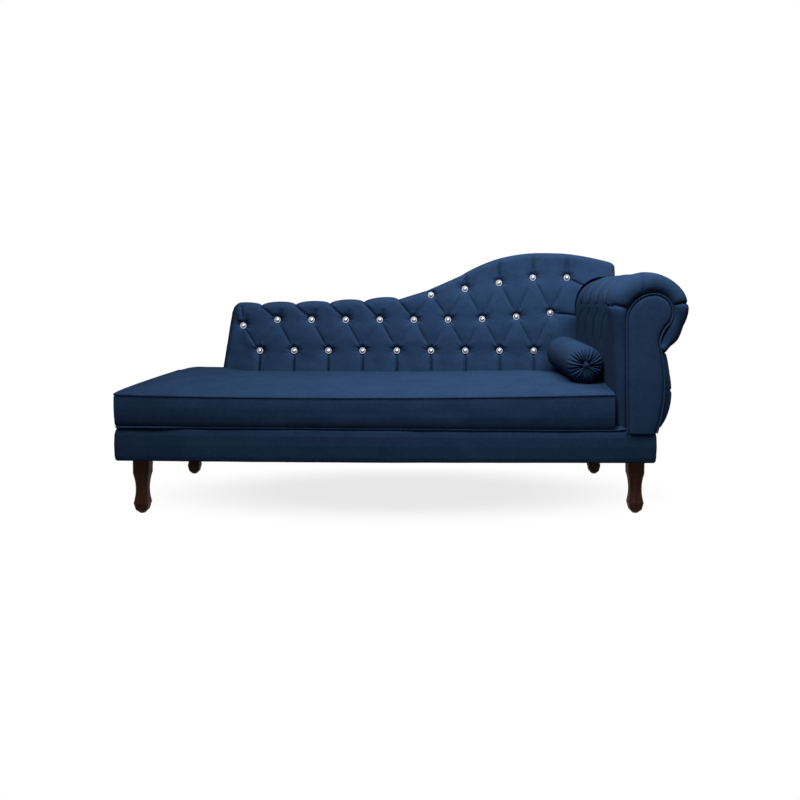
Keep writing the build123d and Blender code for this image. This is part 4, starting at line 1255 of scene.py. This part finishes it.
def seat_cushion():
    """The seat cushion: crowned top, drawn-in corners and boxing down to the base."""
    piece, a, b = cloth_sheet("seat_cushion", seat_columns, seat_rows)
    x, y = seat_plan(a, b)
    set_points(piece, np.stack([x, y, seat_top(x, y)], axis=-1))
    notch = (x > seat_notch_x + 1e-5) & (y > seat_notch_y + 1e-5)
    cut_away(piece, notch)
    kept = int((~notch).sum())
    edit(piece)
    select_rim()
    for _ in range(seat_rings):
        bpy.ops.mesh.extrude_region_move(TRANSFORM_OT_translate={"value": (0, 0, -0.005)})
    done()
    points = points_of(piece)
    rim = (len(points) - kept) // seat_rings
    foot = boxing_foot(points[:, 0], points[:, 1])
    for ring in range(seat_rings):
        part = slice(kept + ring * rim, kept + (ring + 1) * rim)
        share = min((ring + 1) / (seat_rings - 1), 1)
        points[part] = boxing_ring(points[part], foot[part], share)
    points[-rim:] = tucked_under(points[-rim:])
    set_points(piece, points)
    close_ends(piece)
    upholster(piece, 75)
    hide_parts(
        "seat_top_cover", "seat_foam", "seat_boxing_front", "seat_boxing_left", "seat_boxing_rear"
    )
    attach(piece, "frame")
    return piece


def tucked_under(line):
    """The foot of the boxing drawn in behind the cord and down on to the rails."""
    line = line.copy()
    near = seat_tuck_reach
    line[:, 1] = np.where(line[:, 1] < seat_front + near, seat_front + seat_tuck, line[:, 1])
    line[:, 1] = np.where(line[:, 1] > seat_rear - near, seat_rear - seat_tuck, line[:, 1])
    line[:, 0] = np.where(line[:, 0] < seat_left + near, seat_left + seat_tuck, line[:, 0])
    line[:, 2] = base_top + 0.0008
    return line


def boxing_swell(share):
    """How far the boxing stands out between the cord at its top and the seam at its foot."""
    return float(np.interp(share, [0, 0.06, 0.16, 0.35, 0.65, 0.85, 0.95, 1], seat_swell))


def seat_piping():
    """The piping sewn along the top edge of the seat."""
    left = seat_left - seat_left_proud - seat_left_taper + 0.0015
    near = seat_front + 0.0022
    far = seat_rear - 0.0022
    radius = seat_corner_radius
    path = [(x, near) for x in np.linspace(seat_right, left + radius, 180)]
    for turn in np.linspace(0.2, 1.4, 5):
        path.append((left + radius * (1 - math.sin(turn)), near + radius * (1 - math.cos(turn))))
    wide = seat_rear_corner
    path += [(left, y) for y in np.linspace(near + radius, far - wide, 80)]
    for turn in np.linspace(0.1, 1.5, 9):
        path.append((left + wide * (1 - math.cos(turn)), far - wide * (1 - math.sin(turn))))
    path += [(x, far) for x in np.linspace(left + wide, seat_notch_x, 30)]
    places = [(x, y, float(seat_edge_height(np.array(x), np.array(y)))) for x, y in path]
    piece = piping("seat_piping", places, seat_cord_radius)
    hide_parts("seat_welt")
    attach(piece, "frame")


def apron_top(x, y):
    """Height of the top of the base: a line that runs down to the right in front, and level behind."""
    behind = ease((y - seat_front) / (seat_rear - seat_front))
    return on_line(apron_top_line, x) * (1 - behind) + (base_top + 0.0006) * behind


def cord_peek(x):
    """1 at the left end, where the cord between base and seat shows, and 0 where it lies in the seam."""
    return 1 - ease((x - cord_peek_x) / cord_peek_run)


def base_piping():
    """The cord in the seam between base and seat, all round."""
    low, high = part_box("base_seam_welt")
    left = low.x + 0.001
    right = high.x - 0.004
    near = low.y + 0.0068
    far = high.y - 0.0030
    path = [(x, near - 0.0040 * float(cord_peek(x))) for x in np.linspace(right, left, 160)]
    path += [(left, y) for y in np.linspace(near, far, 40)[1:-1]]
    path += [(x, far) for x in np.linspace(left, right, 60)]
    path += [(right, y) for y in np.linspace(far, near, 40)[1:-1]]
    places = [(x, y, float(apron_top(x, y)) + (rear_cord_rise if y == far else cord_rise)) for x, y in path]
    piece = piping("base_piping", places, welt_radius, closed=True)
    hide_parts("base_seam_welt")
    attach(piece, "frame")


def open_box(name, low, high):
    """Four upright walls with rounded corners, cut into small squares."""
    deselect()
    bpy.ops.mesh.primitive_cube_add(
        size=1.0,
        location=[(a + b) / 2 for a, b in zip(low, high)],
        scale=[b - a for a, b in zip(low, high)],
    )
    piece = named(name)
    bpy.ops.object.transform_apply(location=True, rotation=True, scale=True)
    edit(piece, "FACE")
    done()
    for face in piece.data.polygons:
        face.select = abs(face.normal.z) > 0.9
    bpy.ops.object.mode_set(mode="EDIT")
    bpy.ops.mesh.delete(type="ONLY_FACE")
    select_upright_edges(piece)
    bpy.ops.mesh.bevel(offset=apron_corner, segments=4, affect="EDGES")
    bpy.ops.mesh.select_all(action="SELECT")
    bpy.ops.mesh.subdivide(number_cuts=15)
    bpy.ops.mesh.subdivide(number_cuts=5)
    done()
    return piece


def select_upright_edges(piece):
    """Selects the upright edges of the piece in edit mode."""
    bpy.ops.mesh.select_mode(type="EDGE")
    bpy.ops.mesh.select_all(action="DESELECT")
    done()
    points = points_of(piece)
    for line in piece.data.edges:
        ends = points[list(line.vertices)]
        line.select = bool(abs(ends[0][2] - ends[1][2]) > 0.01)
    bpy.ops.object.mode_set(mode="EDIT")


def base_apron():
    """The upholstered apron round the base: four walls with soft corners, tight over the rails."""
    low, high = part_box("base_front_cover")
    left = low.x - apron_proud_left
    right = high.x + apron_proud_right
    bottom = low.z
    top = high.z
    near = low.y
    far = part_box("base_rear_cover")[1].y
    piece = open_box("base_apron", (left, near, bottom), (right, far, top))
    points = points_of(piece)
    share = (points[:, 2] - bottom) / (top - bottom)
    tight = apron_ripple * ripple(points[:, 0] / 0.22, points[:, 1] / 0.22 + share * 0.3, 7, 17)
    tight = tight * np.clip((1 - share) / 0.05, 0, 1) + on_line(apron_swell, share)
    middle = np.array([(left + right) / 2, (near + far) / 2])
    half = np.array([(right - left) / 2, (far - near) / 2])
    spread = (points[:, :2] - middle) / half
    points[:, 0] += np.where(np.abs(spread[:, 0]) > 0.985, np.sign(spread[:, 0]) * tight, 0)
    points[:, 1] += np.where(np.abs(spread[:, 1]) > 0.96, np.sign(spread[:, 1]) * tight, 0)
    hem = on_line(apron_hem_line, points[:, 0])
    points[:, 2] = hem + (apron_top(points[:, 0], points[:, 1]) - hem) * share
    set_points(piece, points)
    take(piece)
    wall = piece.modifiers.new("wall", "SOLIDIFY")
    wall.thickness = apron_wall
    wall.offset = -1.0
    bpy.ops.object.modifier_apply(modifier=wall.name)
    upholster(piece)
    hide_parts("base_front_cover", "base_rear_cover", "base_left_cover", "base_right_cover")
    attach(piece, "frame")
    return piece


def bolster_frame():
    """Middle of the bolster, its lengthwise way and the way up across it, from its end buttons."""
    ends = sorted(clusters("bolster_end_buttons", 0.06), key=lambda p: p[1])
    way = (ends[1] - ends[0]) / np.linalg.norm(ends[1] - ends[0])
    return (ends[0] + ends[1]) / 2, way, np.cross((1.0, 0, 0), way)


def bolster_cushion():
    """The bolster: a plump roll whose rounded ends are gathered into a button."""
    low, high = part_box("bolster_cover")
    middle, way, above = bolster_frame()
    radius = (high.x - low.x) / 2 + 0.0006
    half = bolster_length / 2
    piece, a, b = cloth_sheet("bolster_cushion", 336, 200)
    turn = a * 2 * math.pi
    end = bolster_end_share
    from_end = np.minimum(b, 1 - b) / end
    inner = np.clip(from_end, 0, 1)
    side = np.where(b < 0.5, -1.0, 1.0)
    bend = inner * math.pi / 2
    r = radius * np.sin(bend) ** 0.9
    depth = bolster_dome * (1 - np.cos(bend) ** 0.8)
    dimple = bolster_dimple * np.exp(-((r / bolster_dimple_width) ** 2))
    sway = 0.5 * np.sin(3 * turn + side) + 0.35 * np.sin(5 * turn - 2 * side)
    ridges = np.abs(np.sin(bolster_pleats / 2 * turn + sway)) ** 0.8
    pleat = 1.5 * ridges - 0.9 + 0.35 * np.sin(7 * turn + side)
    reach = r / radius
    fold_depth = bolster_pleat * np.clip(reach / 0.24, 0, 1) * np.clip(1.10 - reach, 0, 1) ** 0.7
    depth = depth + dimple - fold_depth * pleat
    body = np.clip((from_end - 1) / (0.5 / end - 1), 0, 1)
    along = np.where(from_end > 1, side * (half - bolster_dome) * (1 - body), side * (half - depth))
    r = r + np.where(from_end > 1, bolster_belly * body * (2 - body), 0)
    r = r + bolster_ripple * ripple(turn * 0.8, b * 3, 6, 44) * np.clip(from_end - 0.8, 0, 1)
    across = r * np.cos(turn)
    up = np.maximum(r * np.sin(turn), 0.0004 - radius)
    points = middle + np.outer(along, way) + np.outer(up, above)
    points[:, 0] += across
    set_points(piece, points)
    close_seam(piece)
    close_ends(piece)
    upholster(piece)
    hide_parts("bolster_cover", "bolster_filling")
    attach(piece, "bolster")
    return piece


def covered_button(name, diameter, height):
    """A fabric-covered button: a dome with a drawn-in edge, standing on the origin."""
    deselect()
    bpy.ops.mesh.primitive_circle_add(vertices=32, radius=diameter / 2, fill_type="NGON")
    piece = named(name)
    bpy.ops.object.mode_set(mode="EDIT")
    bpy.ops.mesh.select_mode(type="FACE")
    bpy.ops.mesh.select_all(action="SELECT")
    bpy.ops.mesh.extrude_region_move(TRANSFORM_OT_translate={"value": (0, 0, height * 0.35)})
    radius = diameter / 2
    for share in (0.12, 0.16, 0.22, 0.24):
        bpy.ops.mesh.inset(thickness=radius * share)
        bpy.ops.transform.translate(value=(0, 0, height * (0.40 - share)))
    done()
    close_ends(piece)
    return piece


def copies(model, places, name):
    """Copies of a modelled piece at places with a way out, joined into one piece."""
    shape = points_of(model)
    made = []
    for place, way in places:
        copy = model.copy()
        copy.data = model.data.copy()
        bpy.context.scene.collection.objects.link(copy)
        way = np.asarray(way) / np.linalg.norm(way)
        side = np.cross((0, 0, 1.0), way)
        length = np.linalg.norm(side)
        side = side / length if length > 1e-6 else np.array((1.0, 0, 0))
        up = np.cross(way, side)
        set_points(copy, np.asarray(place) + shape @ np.array([side, up, way]))
        made.append(copy)
    bpy.data.objects.remove(model)
    deselect()
    for copy in made:
        copy.select_set(True)
    bpy.context.view_layer.objects.active = made[0]
    if len(made) > 1:
        bpy.ops.object.join()
    return named(name)


def arm_button_places():
    """The places of the covered buttons of the arm, in the bottom of its folds."""
    found = []
    for run, y in arm_spots():
        outer, _ = arm_section(np.array([run, run + 0.001]))
        ahead = outer[1] - outer[0]
        way = np.array([-ahead[1], 0, ahead[0]])
        way = way / np.linalg.norm(way)
        found.append((np.array([outer[0][0], y, outer[0][1]]) - way * (arm_sunk + 0.0005), way))
    return found


def arm_covered_buttons():
    """The covered buttons of the arm."""
    model = covered_button("button_model", *arm_button_size)
    piece = copies(model, arm_button_places(), "arm_covered_buttons")
    upholster(piece)
    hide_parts("arm_buttons")
    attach(piece, "frame")


def bolster_covered_buttons():
    """The covered buttons in the ends of the bolster."""
    middle, way, _ = bolster_frame()
    reach = bolster_length / 2 - bolster_dimple
    model = covered_button("end_button_model", *end_button_size)
    places = [(middle - way * reach, -way), (middle + way * reach, way)]
    piece = copies(model, places, "bolster_covered_buttons")
    upholster(piece)
    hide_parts("bolster_end_buttons")
    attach(piece, "bolster")


def crystals():
    """The crystals of the back: one is cut from a ring of 16 corners and copied into each cup."""
    deselect()
    bpy.ops.mesh.primitive_circle_add(vertices=16, radius=stone_radius, fill_type="NGON")
    model = named("crystal_model")
    bpy.ops.object.mode_set(mode="EDIT")
    bpy.ops.mesh.select_mode(type="FACE")
    bpy.ops.mesh.select_all(action="SELECT")
    bpy.ops.mesh.extrude_region_move(TRANSFORM_OT_translate={"value": (0, 0, stone_girdle)})
    for width, rise, twist in stone_facets:
        bpy.ops.mesh.inset(thickness=width)
        bpy.ops.transform.translate(value=(0, 0, rise))
        bpy.ops.transform.rotate(value=math.radians(twist), orient_axis="Z", center_override=(0, 0, 0))
    done()
    close_ends(model)
    edit(model)
    bpy.ops.mesh.select_all(action="SELECT")
    bpy.ops.mesh.quads_convert_to_tris(quad_method="SHORTEST_DIAGONAL", ngon_method="BEAUTY")
    done()
    way = np.array([0, -math.cos(back_lean), math.sin(back_lean)])
    places = [(np.asarray(p) - way * stone_sunk, way) for p in stone_places]
    piece = copies(model, places, "crystals")
    take(piece)
    bpy.ops.object.shade_flat()
    dress(piece, crystal)
    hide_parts("tuft_stones")
    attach(piece, "frame")


back_pad()
back_rear_panel()
arm_pad()
arm_outside_pad()
arm_front_panel()
arm_panel_piping()
seat_cushion()
seat_piping()
base_apron()
base_piping()
bolster_cushion()
arm_covered_buttons()
bolster_covered_buttons()
crystals()

legs = [f"leg_{place}" for place in ("front_left", "front_right", "rear_left", "rear_right")]
steel_pieces = ["tuft_cups", "leg_hanger_bolts", "leg_tee_nuts", "arm_frame_screws", "back_frame_screws"]
rails = [f"base_{side}_rail" for side in ("front", "rear", "left", "right")]
rails += [f"base_cross_rail_{i}" for i in (1, 2, 3)]
rails += [f"back_post_{i}" for i in (1, 2, 3, 4)]
rails += ["base_corner_blocks", "seat_back_rail", "seat_corner_rail", "back_bottom_rail"]
rails += ["arm_bottom_rail", "arm_top_rail"]
boards = ["back_board", "arm_front_board", "arm_rear_board", "arm_inner_panel", "seat_corner_deck"]
dress_node(leg_stain, *legs)
dress_node(plated_steel, *steel_pieces)
dress_node(bottom_lining, "dust_cover")
dress_node(strap_webbing, "seat_cross_straps", "seat_long_straps", "tuft_ties")
dress_node(frame_timber, *rails)
dress_node(ply_board, *boards)


def seen(start):
    """1 for what the camera sees, directly or in a reflection, and 0 for light on the object."""
    path = start.add("ShaderNodeLightPath", {}, {}, output="Is Camera Ray")
    glossy = start.add("ShaderNodeLightPath", {}, {}, output="Is Glossy Ray")
    return start.maths("MAXIMUM", path, glossy)


def floor():
    """A pale floor: near the object an oval is painted grey as shade, with a dark matt part mixed in that
    keeps the real shadow; further out it fades to plain white.
    """
    deselect()
    bpy.ops.mesh.primitive_plane_add(size=40.0)
    piece = named("floor")
    material, start, output = new_material("pale_floor")
    place = object_place(start)
    squeezed = start.add("ShaderNodeMapping", {}, {"Vector": place, "Scale": (0.60, 1.30, 1.0)})
    away = start.add("ShaderNodeVectorMath", {"operation": "LENGTH"}, {0: squeezed}, output=1)
    # Painted shade: inside this oval only four fifths of the floor is plain white, so it renders grey
    # whether lit or not; the matt fifth shows the real shadow.
    painted_shade_fade = start.add(
        "ShaderNodeMapRange",
        {"interpolation_type": "SMOOTHSTEP"},
        {"Value": away, "From Min": 0.20, "From Max": 0.56, "To Min": 0.80, "To Max": 1.0},
    )
    matt = start.add("ShaderNodeBsdfDiffuse", {}, {"Color": (0.15, 0.15, 0.15, 1.0)})
    white = start.add("ShaderNodeEmission", {}, {"Color": (1.0, 1.0, 1.0, 1.0), "Strength": 1.0})
    mixed = start.add("ShaderNodeMixShader", {}, {0: painted_shade_fade * seen(start), 1: matt, 2: white})
    finish_material(start, output, mixed)
    piece.data.materials.append(material)


def sky():
    """White all round for the camera, and faint cool light for the object."""
    world = bpy.data.worlds.new("studio")
    bpy.context.scene.world = world
    world.use_nodes = True
    tree = world.node_tree
    tree.nodes.clear()
    start = Wire(tree)
    dim = start.add("ShaderNodeBackground", {}, {"Color": (0.78, 1.0, 1.30, 1.0), "Strength": 0.042})
    white = start.add("ShaderNodeBackground", {}, {"Color": (1.0, 1.0, 1.0, 1.0), "Strength": 1.0})
    mixed = start.add("ShaderNodeMixShader", {}, {0: seen(start), 1: dim, 2: white})
    output = tree.nodes.new("ShaderNodeOutputWorld")
    finish_material(start, output, mixed)


def lamp(name, place, target, width, depth, watts):
    """A soft oblong lamp aimed at a point."""
    light = bpy.data.lights.new(name, "AREA")
    light.shape = "RECTANGLE"
    light.size = width
    light.size_y = depth
    light.energy = watts
    piece = bpy.data.objects.new(name, light)
    bpy.context.scene.collection.objects.link(piece)
    piece.location = place
    way = np.subtract(target, place)
    flat = math.hypot(way[0], way[1])
    piece.rotation_euler = (math.atan2(flat, -way[2]), 0, math.atan2(-way[0], way[1]))


def camera():
    """A level camera in front of the seat, with the photograph's framing."""
    data = bpy.data.cameras.new("camera")
    data.sensor_width = 36.0
    data.lens = camera_lens
    data.shift_x = camera_shift[0]
    data.shift_y = camera_shift[1]
    piece = bpy.data.objects.new("camera", data)
    bpy.context.scene.collection.objects.link(piece)
    piece.location = camera_place
    piece.rotation_euler = (math.radians(90), 0, 0)
    bpy.context.scene.camera = piece


floor()
sky()
lamp("overhead", lamp_place, lamp_target, *lamp_size, lamp_watts)
camera()
